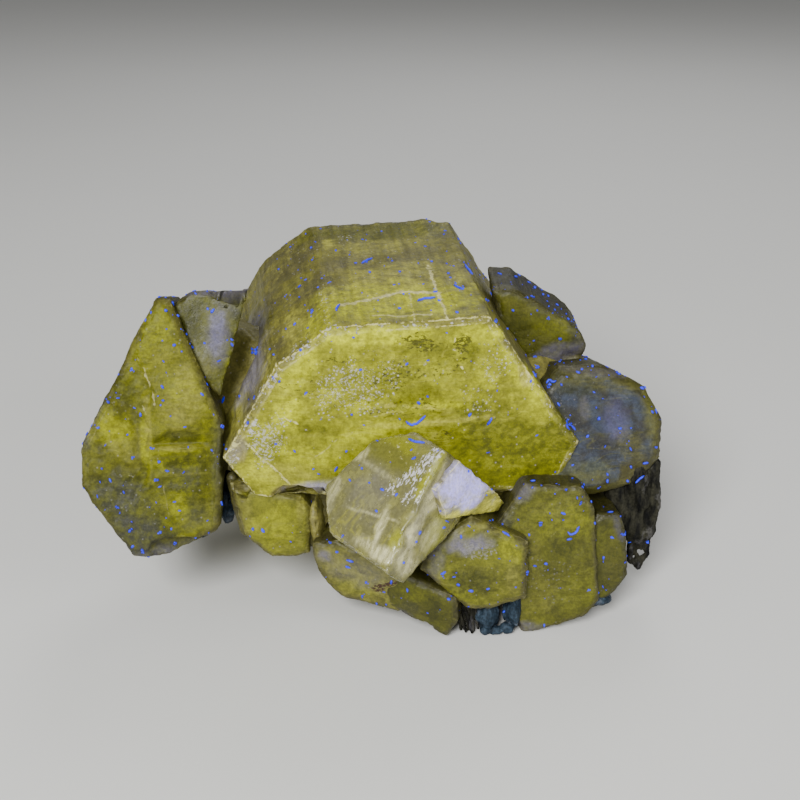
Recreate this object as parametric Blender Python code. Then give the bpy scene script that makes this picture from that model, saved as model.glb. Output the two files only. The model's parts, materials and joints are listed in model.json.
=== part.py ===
"""Apatite specimen: stubby hexagonal prisms grown side by side, with remnants of the rock they grew in.

Units are metres, +Z up. The crystals point their broad end faces towards -Y, and the specimen
stands on its broken underside at Z = 0, with its origin under the middle of its bounding box.
"""

import math

import bmesh
import bpy
import numpy as np
from mathutils import Matrix, Vector

MM = 0.001

# ---- driving dimensions, in millimetres and degrees ----
MIDDLE = (-2.11, 9.40)   # middle of the specimen in the layout below, which becomes the origin
RIM_SLOPE = 40.3          # angle of the rim faces to the end face, as apatite's own pyramid has
BLOCK = 60.0              # starting block that the faces are cut from
SMALLEST = 0.02           # shortest edge kept where several faces meet
GAP = 0.35                # clearance between the matrix pieces and the crystals
LUMP_FACES = 18           # faces of a broken lump, with how far each may turn and how near it may lie
LUMP_TURN = 0.5
LUMP_REACH = (0.86, 1.0)

# A crystal is a prism. "face" is the centre of its front end face, "turn" the heading of that face
# (positive looks to the right) and "lift" its tilt upwards. "sides" are its prism faces, each as
# (direction in the end face, distance from the axis). "rim" sets the end face in behind sloping
# rim faces, "back" does the same at the far end, and "flare" widens the prism towards the back.
# "facets" are further faces, each as (normal, distance) in the end face's own frame.
CRYSTALS = {
    "main": dict(face=(0.4, 0.0, 18.4), turn=6.8, lift=0, length=27.5, rim=0.5, back=1.4, flare=1.4, sides=(
        (92, 7.6), (34, 9.9), (-22, 14.6), (-92, 7.4), (-147, 13.9), (150, 10.8), (126, 9.4)),
        facets=(((-0.194, -0.171, 0.966), 2.78),)),
    "left": dict(face=(-19.7, -0.5, 17.3), turn=5, lift=18, length=12.0, rim=0.4, back=2.5, flare=0, sides=(
        (85, 10.3), (21, 5.5), (-5, 5.8), (-62, 9.6), (-91, 10.2), (-146, 7.1), (177, 5.4), (151, 4.2))),
    "upper_left": dict(face=(-14.5, 3.1, 23.1), turn=5, lift=20, length=12.0, rim=0.3, back=1.2, flare=0,
        sides=((88, 4.2), (130, 4.6), (11, 3.5), (-36, 2.8), (-132, 3.1), (-160, 2.3)),
        facets=(((0.915, -0.255, -0.31), 1.245),)),
    "upper_right": dict(face=(11.7, 9.0, 21.5), turn=1, lift=0, length=8.0, rim=0.3, back=1.6, flare=0,
        sides=((90, 4.0), (57, 2.2), (30, 3.0), (-18, 4.2), (-71, 3.6), (-149, 2.6), (-168, 3.1))),
    "right": dict(face=(16.3, 2.9, 15.4), turn=5, lift=16, length=14.0, rim=0.8, back=2.0, flare=0, sides=(
        (92, 5.6), (60, 5.0), (30, 5.2), (-4, 5.4), (-48, 5.3), (-75, 5.1), (-86, 5.2), (-147, 5.8),
        (180, 4.9), (136, 6.1))),
    "front_right": dict(face=(12.1, -2.1, 6.3), turn=0, lift=10, length=16.0, rim=0.3, back=1.0, flare=0,
        sides=((87, 6.4), (31, 5.3), (5, 3.9), (-38, 5.5), (-70, 5.7), (-90, 6.4), (-158, 4.5), (-173, 3.9),
               (147, 5.3))),
    "far_right": dict(face=(16.5, -1.4, 5.7), turn=5, lift=10, length=12.0, rim=0.3, back=1.0, flare=0,
        sides=((85, 4.2), (23, 2.9), (4, 2.2), (-35, 2.6), (-49, 2.9), (-78, 3.9), (-175, 2.1), (151, 2.5))),
    "front_middle": dict(face=(6.1, -3.7, 6.8), turn=0, lift=10, length=12.0, rim=0.5, back=1.0, flare=0,
        sides=((64, 3.5), (-1, 4.1), (-72, 4.1), (-94, 4.0), (-131, 3.4), (162, 4.2), (148, 3.9), (124, 3.7))),
    "clear": dict(face=(-2.0, -4.8, 14.0), turn=-37, lift=42, length=14.0, rim=0.2, back=0.5, flare=0,
        sides=((155, 3.8), (114, 4.6), (78, 5.6), (-1, 4.1), (-101, 4.6), (-145, 4.3)),
        facets=(((0.0, -0.529, -0.849), 5.31),)),
    "lower_left": dict(face=(-10.4, -0.5, 9.1), turn=5, lift=5, length=15.0, rim=0.3, back=1.0, flare=0,
        sides=((75, 2.5), (36, 3.1), (-2, 3.2), (-77, 3.8), (-95, 3.4), (-137, 2.5), (-166, 2.5), (-174, 2.9))),
    "shelf_left": dict(face=(-3.2, -2.3, 5.0), turn=-14, lift=0, length=12.0, rim=0.3, back=1.0, flare=0,
        sides=((107, 3.4), (69, 2.1), (-12, 3.9), (-98, 2.7), (-133, 2.9), (-162, 3.7), (178, 4.2))),
    "shelf_right": dict(face=(1.5, -3.6, 3.2), turn=-14, lift=0, length=12.0, rim=0.3, back=1.0, flare=0,
        sides=((69, 1.9), (5, 3.1), (-27, 3.5), (-115, 1.8), (-174, 2.9))),
    "spur": dict(face=(5.8, -3.5, 13.1), turn=44, lift=5, length=5.0, rim=0.2, back=0.5, flare=0,
        sides=((44, 1.4), (-54, 4.9), (-106, 2.05), (-157, 3.1), (116, 3.5)),
        facets=(((-0.021, -0.422, 0.906), 0.17),)),
}

# Broken masses that the crystals grow from, hidden behind them: (centre, radii, seed).
ROOTS = (
    ((-1.0, 16.0, 8.0), (15.0, 9.5, 10.5), 3),
    ((-14.5, 11.0, 15.0), (6.5, 6.0, 7.0), 5),
    ((13.0, 9.5, 11.0), (6.0, 7.5, 8.0), 8),
    ((-6.8, 1.5, 8.0), (0.7, 2.4, 3.0), 9),
)

# Breaks in the crystals, each in its crystal's own end face: (crystal, (across, up, out), radii, seed).
BREAKS = (
    ("main", (-8.6, -6.9, 0.0), (2.3, 1.1, 1.6), 11),
    ("main", (-13.4, -2.6, 0.4), (0.9, 2.0, 1.0), 12),
    ("main", (-7.9, 7.3, 0.3), (0.9, 0.7, 1.2), 13),
    ("main", (9.6, 3.0, 0.4), (0.7, 1.3, 0.9), 14),
    ("main", (-11.6, 6.4, -27.5), (1.8, 1.4, 2.2), 15),
    ("main", (7.6, 8.2, -28.0), (1.4, 1.0, 1.6), 16),
    ("main", (9.0, -7.0, -26.0), (4.6, 3.2, 5.0), 17),
    ("main", (-3.0, -1.0, -28.6), (7.0, 4.5, 1.5), 18),
    ("left", (-3.6, -0.4, 0.5), (3.3, 4.4, 1.0), 21),
    ("left", (2.4, -0.6, 0.25), (2.1, 0.65, 0.8), 22),
    ("left", (2.0, -9.6, 0.0), (3.4, 1.6, 2.0), 23),
    ("left", (-4.6, -8.6, 0.0), (1.6, 2.0, 2.2), 24),
    ("upper_left", (1.4, 3.9, -0.2), (1.4, 0.8, 1.2), 31),
    ("right", (3.2, -3.8, 0.3), (1.8, 1.6, 0.9), 41),
    ("upper_right", (2.9, -1.8, 0.2), (1.3, 1.0, 0.8), 45),
    ("front_right", (1.2, -6.6, 0.0), (1.3, 0.9, 2.0), 51),
    ("front_right", (3.6, -5.6, 0.0), (1.0, 0.8, 2.0), 52),
    ("front_right", (-3.6, -6.0, 0.0), (1.4, 1.4, 2.4), 53),
    ("far_right", (1.6, -4.0, 0.0), (1.0, 0.9, 1.6), 54),
    ("front_middle", (2.6, 3.4, 0.2), (1.2, 0.7, 0.9), 61),
    ("clear", (4.6, -2.2, -0.2), (0.8, 2.0, 0.9), 72),
    ("lower_left", (1.6, 3.6, 0.0), (1.8, 0.8, 1.2), 81),
    ("lower_left", (-2.2, 3.3, 0.0), (0.8, 1.3, 1.2), 82),
    ("shelf_left", (0.6, 3.3, 0.0), (1.7, 1.0, 1.4), 91),
    ("shelf_left", (-2.0, -2.9, 0.0), (1.2, 0.7, 1.6), 92),
    ("shelf_right", (0.2, -2.6, 0.0), (1.1, 0.8, 1.6), 93),
)

# Growth ledges on the left crystal: a short stair going down, as (top of the step, its depth).
LEDGES = ((-1.4, 0.2), (-2.3, 0.4), (-3.1, 0.6))
LEDGE_REACH = (0.2, 3.9)
LEDGE_FOOT = -4.0

# Etch pits in the main end face: how many, within which patches (middle, half size), and how big.
PIT_PATCHES = ((14, (4.2, 4.6), (3.2, 1.2)), (12, (-2.5, 2.6), (6.5, 2.4)), (8, (6.0, 0.4), (3.0, 2.2)))
PIT_SEED = 77
PIT_RADII = (0.16, 0.42)
PIT_DEPTH = 0.3
PIT_STRETCH = (1.0, 2.2)
PIT_TURN = 0.4
PIT_SPACING = 1.5
PIT_SIDES = 5
PIT_CONE = (0.3, 1.7)     # radii of the cone below and above the face, of which the pit is the middle

# Slim remnants of crystals beside the lower left one, as rods: (start, finish, radius, radius).
SPLINTERS = (
    ((-13.6, 0.7, 12.4), (-13.5, 0.7, 10.4), 0.55, 0.4),
    ((-13.5, 0.7, 10.4), (-12.7, 0.6, 7.6), 0.4, 0.55),
    ((-7.4, 0.8, 6.4), (-7.0, 0.8, 9.0), 0.55, 0.3),
)

# Matrix grains caught in the front of the underside, as (name, centre, radii, seed).
GRAIN_FACES = 26
GRAINS = (
    ("matrix_grain_left", (7.15, -2.3, 1.5), (1.0, 1.5, 1.45), 101),
    ("matrix_grain_right", (9.25, -2.4, 2.0), (0.8, 1.3, 1.5), 102),
    ("matrix_grain_gap", (-14.45, 3.4, 9.2), (0.85, 1.8, 2.3), 103),
)

# The dark crust under the right crystal sags round a hole and ends in a ring of lace, as rods.
CRUST = (
    ((19.4, 5.4, 12.6), (19.2, 4.4, 6.2), 1.7, 1.1),
    ((17.9, 3.7, 10.4), (18.9, 2.9, 7.6), 1.2, 0.85),
    ((19.4, 3.5, 11.6), (20.1, 2.9, 8.8), 1.2, 0.75),
    ((21.1, 3.8, 11.9), (21.3, 3.2, 8.4), 0.75, 0.5),
    ((20.1, 2.9, 8.8), (19.9, 2.8, 6.6), 0.6, 0.75),
    ((21.35, 3.2, 8.4), (21.0, 3.0, 6.5), 0.5, 0.6),
    ((18.9, 2.9, 7.6), (19.5, 2.8, 5.8), 0.8, 0.6),
    ((19.6, 2.8, 6.3), (21.0, 2.9, 6.3), 0.75, 0.65),
    ((20.3, 2.8, 6.2), (20.6, 2.8, 4.9), 0.8, 0.4),
    ((19.6, 2.8, 6.0), (19.55, 2.8, 3.5), 0.4, 0.32),
    ((19.55, 2.8, 3.5), (20.4, 2.8, 2.9), 0.32, 0.36),
    ((20.4, 2.8, 2.9), (21.1, 2.9, 4.0), 0.36, 0.34),
    ((21.1, 2.9, 4.0), (20.9, 2.9, 6.0), 0.34, 0.45),
)


def frame_of(turn, lift):
    """Rotation whose X and Y span the end face and whose Z is the outward axis."""
    t, p = math.radians(turn), math.radians(lift)
    out = Vector((math.sin(t) * math.cos(p), -math.cos(t) * math.cos(p), math.sin(p)))
    across = Vector((math.cos(t), math.sin(t), 0.0))
    return Matrix((across, out.cross(across), out)).transposed()


def place_of(spec):
    """Where a crystal's own end face frame sits in the layout."""
    return Matrix.Translation(Vector(spec["face"])) @ frame_of(spec["turn"], spec["lift"]).to_4x4()


def cut(bm, point, normal):
    """Cuts everything beyond a plane off a closed mesh and closes it again."""
    geom = bm.verts[:] + bm.edges[:] + bm.faces[:]
    done = bmesh.ops.bisect_plane(bm, geom=geom, plane_co=point, plane_no=normal, clear_outer=True, dist=1e-4)
    rim = [e for e in done["geom_cut"] if isinstance(e, bmesh.types.BMEdge)]
    if rim:
        bmesh.ops.edgeloop_fill(bm, edges=rim)


def hull(bm):
    """Draws a convex mesh anew over its corners, so that corners closer than SMALLEST become one."""
    bmesh.ops.remove_doubles(bm, verts=bm.verts, dist=SMALLEST)
    bmesh.ops.delete(bm, geom=bm.edges[:], context="EDGES_FACES")
    made = bmesh.ops.convex_hull(bm, input=bm.verts, use_existing_faces=False)
    spare = [v for v in made["geom_interior"] + made["geom_unused"] if isinstance(v, bmesh.types.BMVert)]
    bmesh.ops.delete(bm, geom=list(set(spare)), context="VERTS")


def crystal(spec, grow=0.0):
    """One prism with rim faces, cut out of a block; grow moves every face out by that much."""
    bm = bmesh.new()
    bmesh.ops.create_cube(bm, size=BLOCK)
    bmesh.ops.translate(bm, vec=Vector((0, 0, -spec["length"] / 2)), verts=bm.verts)
    far = Vector((0, 0, -spec["length"]))
    planes = [(Vector((0, 0, 0)), Vector((0, 0, 1))), (far, Vector((0, 0, -1)))]
    slope = math.radians(RIM_SLOPE)
    lean = Vector((0, 0, math.cos(slope)))
    widen = Vector((0, 0, math.tan(math.radians(spec["flare"]))))
    for normal, distance in spec.get("facets", ()):
        planes.append((Vector(normal) * distance, Vector(normal)))
    for heading, distance in spec["sides"]:
        side = Vector((math.cos(math.radians(heading)), math.sin(math.radians(heading)), 0))
        planes.append((side * distance, side + widen))
        planes.append((side * (distance - spec["rim"]), side * math.sin(slope) + lean))
        planes.append((side * (distance - spec["back"]) + far, side * math.sin(slope) - lean))
    for point, normal in planes:
        cut(bm, point + normal.normalized() * grow, normal.normalized())
    hull(bm)
    bmesh.ops.transform(bm, matrix=place_of(spec), verts=bm.verts)
    return bm


def boulder(centre, radii, seed, faces=LUMP_FACES):
    """A convex lump of flat broken faces, set by its seed."""
    rng = np.random.default_rng(seed)
    bm = bmesh.new()
    bmesh.ops.create_cube(bm, size=BLOCK)
    golden = math.pi * (3 - math.sqrt(5))
    for i in range(faces):
        z = 1 - (2 * i + 1) / faces
        ring = math.sqrt(1 - z * z)
        turn = i * golden + rng.uniform(-LUMP_TURN, LUMP_TURN)
        normal = Vector((ring * math.cos(turn), ring * math.sin(turn), z)).normalized()
        cut(bm, normal * rng.uniform(*LUMP_REACH), normal)
    hull(bm)
    bmesh.ops.transform(bm, matrix=Matrix.Translation(centre) @ Matrix.Diagonal((*radii, 1)), verts=bm.verts)
    return bm


def rod(start, finish, near, far):
    """A tapered rod with rounded ends."""
    bm = bmesh.new()
    for place, radius in ((start, near), (finish, far)):
        bmesh.ops.create_icosphere(bm, subdivisions=1, radius=radius, matrix=Matrix.Translation(place))
    hull(bm)
    return bm


def in_face(crystal_name, at, radii, seed):
    """A boulder placed in a crystal's end face frame, for breaking a piece out of it."""
    bm = boulder((0, 0, 0), radii, seed)
    where = place_of(CRYSTALS[crystal_name]) @ Matrix.Translation(at)
    bmesh.ops.transform(bm, matrix=where, verts=bm.verts)
    return bm


def ledge(top, depth):
    """A flat slab that lowers the left crystal's end face between one height and the stair's foot."""
    near, far = LEDGE_REACH
    bm = bmesh.new()
    bmesh.ops.create_cube(bm, size=1.0)
    size = Matrix.Diagonal((far - near, top - LEDGE_FOOT, 2 * depth, 1))
    middle = ((near + far) / 2, (top + LEDGE_FOOT) / 2, 0)
    where = place_of(CRYSTALS["left"]) @ Matrix.Translation(middle)
    bmesh.ops.transform(bm, matrix=where @ size, verts=bm.verts)
    return bm


def pits():
    """Etch pits sunk in the main end face in seeded patches, kept clear of each other."""
    rng = np.random.default_rng(PIT_SEED)
    taken = []
    for count, (mid_x, mid_y), (wide, high) in PIT_PATCHES:
        full = len(taken) + count
        while len(taken) < full:
            x, y = mid_x + wide * rng.uniform(-1, 1), mid_y + high * rng.uniform(-1, 1)
            radius, stretch = rng.uniform(*PIT_RADII), rng.uniform(*PIT_STRETCH)
            if all(math.hypot(x - a, y - b) > PIT_SPACING * (radius * stretch + c) for a, b, c, _ in taken):
                taken.append((x, y, radius * stretch, stretch))
    for x, y, reach, stretch in taken:
        bm = bmesh.new()
        depth = PIT_DEPTH * reach / PIT_RADII[1] / stretch
        low, high = PIT_CONE
        bmesh.ops.create_cone(bm, segments=PIT_SIDES, radius1=low, radius2=high, depth=2 * depth, cap_ends=True)
        size = Matrix.Diagonal((reach, reach / stretch, 1, 1))
        where = Matrix.Translation((x, y, 0)) @ Matrix.Rotation(rng.uniform(-PIT_TURN, PIT_TURN), 4, "Z")
        bmesh.ops.transform(bm, matrix=place_of(CRYSTALS["main"]) @ where @ size, verts=bm.verts)
        yield bm


def under_floor():
    """A slab below Z = 0 that cuts the underside flat."""
    bm = bmesh.new()
    bmesh.ops.create_cube(bm, size=1.0)
    size = Matrix.Diagonal((2 * BLOCK, 2 * BLOCK, BLOCK, 1))
    bmesh.ops.transform(bm, matrix=Matrix.Translation((0, 0, -BLOCK / 2)) @ size, verts=bm.verts)
    return bm


def add(name, bm, collection):
    """Turns a mesh in the layout's millimetres into an object in metres around the origin."""
    shift = Matrix.Translation((-MIDDLE[0] * MM, -MIDDLE[1] * MM, 0))
    bmesh.ops.transform(bm, matrix=shift @ Matrix.Diagonal((MM, MM, MM, 1)), verts=bm.verts)
    bmesh.ops.recalc_face_normals(bm, faces=bm.faces)
    mesh = bpy.data.meshes.new(name)
    bm.to_mesh(mesh)
    bm.free()
    obj = bpy.data.objects.new(name, mesh)
    collection.objects.link(obj)
    return obj


def helpers(name, meshes):
    """A collection of meshes that Booleans join or cut with, and that isn't part of the model."""
    group = bpy.data.collections.new(name)
    bpy.context.scene.collection.children.link(group)
    for i, bm in enumerate(meshes):
        obj = add(f"{name}_{i}", bm, group)
        obj.hide_render = True
        obj.display_type = "WIRE"
    return group


def combine(obj, operation, group):
    """Joins a collection of helpers to an object, or cuts with them."""
    step = obj.modifiers.new(f"{operation.lower()} {group.name}", "BOOLEAN")
    step.operation = operation
    step.operand_type = "COLLECTION"
    step.collection = group
    step.solver = "EXACT"
    step.use_self = True


def material(name, colour, roughness, transmission=0.0, ior=1.5):
    made = bpy.data.materials.new(name)
    made.use_nodes = True
    shader = made.node_tree.nodes["Principled BSDF"]
    shader.inputs["Base Color"].default_value = (*colour, 1)
    shader.inputs["Roughness"].default_value = roughness
    shader.inputs["Metallic"].default_value = 0.0
    shader.inputs["Transmission Weight"].default_value = transmission
    shader.inputs["IOR"].default_value = ior
    made.diffuse_color = (*colour, 1)
    return made


def crystals(finish, floor):
    """The crystals, grown together into one solid with its broken root, pits, ledges and breaks."""
    names = list(CRYSTALS)
    body = add("apatite_crystals", crystal(CRYSTALS[names[0]]), bpy.context.scene.collection)
    grown = [crystal(CRYSTALS[name]) for name in names[1:]]
    grown += [boulder(*root) for root in ROOTS] + [rod(*splinter) for splinter in SPLINTERS]
    combine(body, "UNION", helpers("grown_together", grown))
    broken = [in_face(*where) for where in BREAKS] + [ledge(*step) for step in LEDGES] + list(pits())
    combine(body, "DIFFERENCE", helpers("broken_out", broken))
    combine(body, "DIFFERENCE", floor)
    body.data.materials.append(finish)


def matrix_pieces(grain_finish, crust_finish, floor):
    """Matrix grains and the dark crust, each fitted round the crystals with a small gap."""
    near = [crystal(spec, GAP) for spec in CRYSTALS.values()]
    near += [boulder(at, tuple(r + GAP for r in radii), seed) for at, radii, seed in ROOTS]
    near += [rod(start, finish, first + GAP, last + GAP) for start, finish, first, last in SPLINTERS]
    clearance = helpers("clearance", near)
    for name, centre, radii, seed in GRAINS:
        grain = add(name, boulder(centre, radii, seed, GRAIN_FACES), bpy.context.scene.collection)
        combine(grain, "DIFFERENCE", clearance)
        combine(grain, "DIFFERENCE", floor)
        grain.data.materials.append(grain_finish)
    crust = add("matrix_crust", rod(*CRUST[0]), bpy.context.scene.collection)
    combine(crust, "UNION", helpers("crust_rods", [rod(*each) for each in CRUST[1:]]))
    combine(crust, "DIFFERENCE", clearance)
    crust.data.materials.append(crust_finish)


def main():
    for obj in list(bpy.data.objects):
        bpy.data.objects.remove(obj)
    floor = helpers("floor", [under_floor()])
    apatite = material("apatite", (0.42, 0.41, 0.10), 0.3, transmission=0.25, ior=1.63)
    grey = material("matrix grey", (0.20, 0.25, 0.30), 0.7)
    dark = material("matrix crust", (0.12, 0.12, 0.09), 0.8)
    crystals(apatite, floor)
    matrix_pieces(grey, dark, floor)


main()
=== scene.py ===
"""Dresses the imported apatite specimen: fine crystals, matrix, dust and a plain studio stage.

The crystals are worked out in millimetres, each in the frame of its own end face, and placed in the
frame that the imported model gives, in metres.
"""

import itertools
import json
import math

import bmesh
import bpy
import numpy as np
from bpy.props import FloatProperty, FloatVectorProperty, PointerProperty
from mathutils import Matrix, Vector
from mathutils.bvhtree import BVHTree

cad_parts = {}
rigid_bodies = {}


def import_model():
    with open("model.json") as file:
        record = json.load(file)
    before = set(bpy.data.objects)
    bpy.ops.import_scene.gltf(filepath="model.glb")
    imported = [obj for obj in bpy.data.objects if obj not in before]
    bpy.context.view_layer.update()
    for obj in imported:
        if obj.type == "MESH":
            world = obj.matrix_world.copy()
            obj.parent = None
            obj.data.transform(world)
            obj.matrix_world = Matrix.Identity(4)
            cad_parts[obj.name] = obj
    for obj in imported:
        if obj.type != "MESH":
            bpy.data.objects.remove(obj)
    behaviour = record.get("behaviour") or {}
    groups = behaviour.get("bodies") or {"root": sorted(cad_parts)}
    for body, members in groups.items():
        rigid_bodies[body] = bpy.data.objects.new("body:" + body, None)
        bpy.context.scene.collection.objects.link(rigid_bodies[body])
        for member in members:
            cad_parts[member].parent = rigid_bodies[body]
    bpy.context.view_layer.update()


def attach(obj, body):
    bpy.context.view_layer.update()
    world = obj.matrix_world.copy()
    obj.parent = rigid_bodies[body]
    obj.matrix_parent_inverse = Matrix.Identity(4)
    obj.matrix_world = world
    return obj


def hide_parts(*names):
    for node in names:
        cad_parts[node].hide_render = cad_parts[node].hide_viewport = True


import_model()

bl_info = {
    "name": "Apatite Specimen",
    "version": (1, 0, 0),
    "blender": (4, 5, 0),
    "location": "3D View > Sidebar > Apatite",
    "description": "Builds the fine crystals, matrix, dust and stage of an apatite specimen",
    "category": "Add Mesh",
}

MM = 0.001
MIDDLE = (-2.11, 9.40)    # middle of the specimen in the layout below, in mm: the frame's origin
RIM_SLOPE = 40.3          # angle of the rim faces to the end face
BLOCK = 60.0              # starting block of a crystal
CELL = 0.17               # a crystal's mesh cell, where it names no other
WELD = 1e-4               # a cut this near to a point of the block goes through it
LEAST_EDGE = 0.02         # points of the block closer than this become one
GOLDEN_ANGLE = math.pi * (3 - math.sqrt(5))
BREAK_ROUND = 0.08        # softness of a break's ridges
RIPPLE = 0.10             # height of the ripples in a break
EDGE_WEAR = 0.28          # reach of the chips beside an edge
MOST_GAP = 3.0            # an edge further off than this has no effect
PATCH_DEPTH = 3           # reach of a face patch into its crystal
ROOT_ROUND = 0.25         # softness of the root masses' edges
END, SIDE, RIM, BACK, UNDER = range(5)
VIEW_TILT, VIEW_HEIGHT, VIEW_DISTANCE = 24, 19.6, 97.7     # the camera looks down at the crystals
LENS_LENGTH, LENS_SENSOR = 56.25, 36.0
VIEW = 800                # width and height of the view that the lint is placed across
LINT_STEP = 2.4           # spacing of a fibre's points, in the view's units
LINT_WAVE = 0.35          # sideways wander of those points, in the view's units
LINT_RADIUS = 0.09
LINT_JUMP = 0.9           # a fibre doesn't leap to a surface further off than this
SPECK_RADIUS = 0.12       # of the largest loose speck
SHELTER = 4.0             # no loose speck lies where something is closer than this above it
APATITE_IOR = 1.63        # index of refraction
CRACKLE_TURN = math.radians(9)      # the white crackle's direction on the clear crystal
DUSTY = ("crystal_", "root_", "grain_", "crust")

# The same crystals as the solids: millimetres and degrees, in the layout. "face" is a point of the end
# face, "turn" and "lift" are its axis, "sides" are (direction, distance) round the axis, and "rim" and
# "back" are the widths of the bevels at the two ends. "flare" widens a crystal towards its back, "cell"
# is the size of a mesh cell, and "facets" are further end faces, as (normal, distance).
CRYSTALS = {
    "main": dict(
        face=(0.4, 0.0, 18.4), turn=6.8, lift=0, length=27.5, rim=0.5, back=1.4, flare=1.4, cell=0.24,
        sides=((92, 7.6), (34, 9.9), (-22, 14.6), (-92, 7.4), (-147, 13.9), (150, 10.8), (126, 9.4)),
        facets=(((-0.194, -0.171, 0.966), 2.78),),
    ),
    "left": dict(
        face=(-19.7, -0.5, 17.3), turn=5, lift=18, length=12.0, rim=0.4, back=2.5, cell=0.18,
        sides=(
            (85, 10.3), (21, 5.5), (-5, 5.8), (-62, 9.6), (-91, 10.2), (-146, 7.1), (177, 5.4),
            (151, 4.2),
        ),
    ),
    "upper_left": dict(
        face=(-14.5, 3.1, 23.1), turn=5, lift=20, length=12.0, rim=0.3, back=1.2, cell=0.18,
        sides=((88, 4.2), (130, 4.6), (11, 3.5), (-36, 2.8), (-132, 3.1), (-160, 2.3)),
        facets=(((0.915, -0.255, -0.31), 1.245),),
    ),
    "upper_right": dict(
        face=(11.7, 9.0, 21.5), turn=1, lift=0, length=8.0, rim=0.3, back=1.6,
        sides=((90, 4.0), (57, 2.2), (30, 3.0), (-18, 4.2), (-71, 3.6), (-149, 2.6), (-168, 3.1)),
    ),
    "right": dict(
        face=(16.3, 2.9, 15.4), turn=5, lift=16, length=14.0, rim=0.8, back=2.0, cell=0.18,
        sides=(
            (92, 5.6), (60, 5.0), (30, 5.2), (-4, 5.4), (-48, 5.3), (-75, 5.1), (-86, 5.2), (-147, 5.8),
            (180, 4.9), (136, 6.1),
        ),
    ),
    "front_right": dict(
        face=(12.1, -2.1, 6.3), turn=0, lift=10, length=16.0, rim=0.3, back=1.0, cell=0.18,
        sides=(
            (87, 6.4), (31, 5.3), (5, 3.9), (-38, 5.5), (-70, 5.7), (-90, 6.4), (-158, 4.5), (-173, 3.9),
            (147, 5.3),
        ),
    ),
    "far_right": dict(
        face=(16.5, -1.4, 5.7), turn=5, lift=10, length=12.0, rim=0.3, back=1.0,
        sides=(
            (85, 4.2), (23, 2.9), (4, 2.2), (-35, 2.6), (-49, 2.9), (-78, 3.9), (-175, 2.1), (151, 2.5),
        ),
    ),
    "front_middle": dict(
        face=(6.1, -3.7, 6.8), turn=0, lift=10, length=12.0, rim=0.5, back=1.0,
        sides=(
            (64, 3.5), (-1, 4.1), (-72, 4.1), (-94, 4.0), (-131, 3.4), (162, 4.2), (148, 3.9), (124, 3.7),
        ),
    ),
    "clear": dict(
        face=(-2.0, -4.8, 14.0), turn=-37, lift=42, length=14.0, rim=0.2, back=0.5,
        sides=((155, 3.8), (114, 4.6), (78, 5.6), (-1, 4.1), (-101, 4.6), (-145, 4.3)),
        facets=(((0.0, -0.529, -0.849), 5.31),),
    ),
    "lower_left": dict(
        face=(-10.4, -0.5, 9.1), turn=5, lift=5, length=15.0, rim=0.3, back=1.0,
        sides=(
            (75, 2.5), (36, 3.1), (-2, 3.2), (-77, 3.8), (-95, 3.4), (-137, 2.5), (-166, 2.5),
            (-174, 2.9),
        ),
    ),
    "shelf_left": dict(
        face=(-3.2, -2.3, 5.0), turn=-14, lift=0, length=12.0, rim=0.3, back=1.0,
        sides=((107, 3.4), (69, 2.1), (-12, 3.9), (-98, 2.7), (-133, 2.9), (-162, 3.7), (178, 4.2)),
    ),
    "shelf_right": dict(
        face=(1.5, -3.6, 3.2), turn=-14, lift=0, length=12.0, rim=0.3, back=1.0,
        sides=((69, 1.9), (5, 3.1), (-27, 3.5), (-115, 1.8), (-174, 2.9)),
    ),
    "spur": dict(
        face=(5.8, -3.5, 13.1), turn=44, lift=5, length=5.0, rim=0.2, back=0.5, cell=0.12,
        sides=((44, 1.4), (-54, 4.9), (-106, 2.05), (-157, 3.1), (116, 3.5)),
        facets=(((-0.021, -0.422, 0.906), 0.17),),
    ),
}

# Broken masses behind the crystals: name -> (centre, radii, seed, mesh cell).
ROOTS = {
    "root_back": ((-1.0, 16.0, 8.0), (15.0, 9.5, 10.5), 3, 0.3),
    "root_left": ((-14.5, 11.0, 15.0), (6.5, 6.0, 7.0), 5, 0.25),
    "root_right": ((13.0, 9.5, 11.0), (6.0, 7.5, 8.0), 8, 0.25),
    "root_chip": ((-6.8, 1.5, 8.0), (0.7, 2.4, 3.0), 9, 0.15),
}

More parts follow.
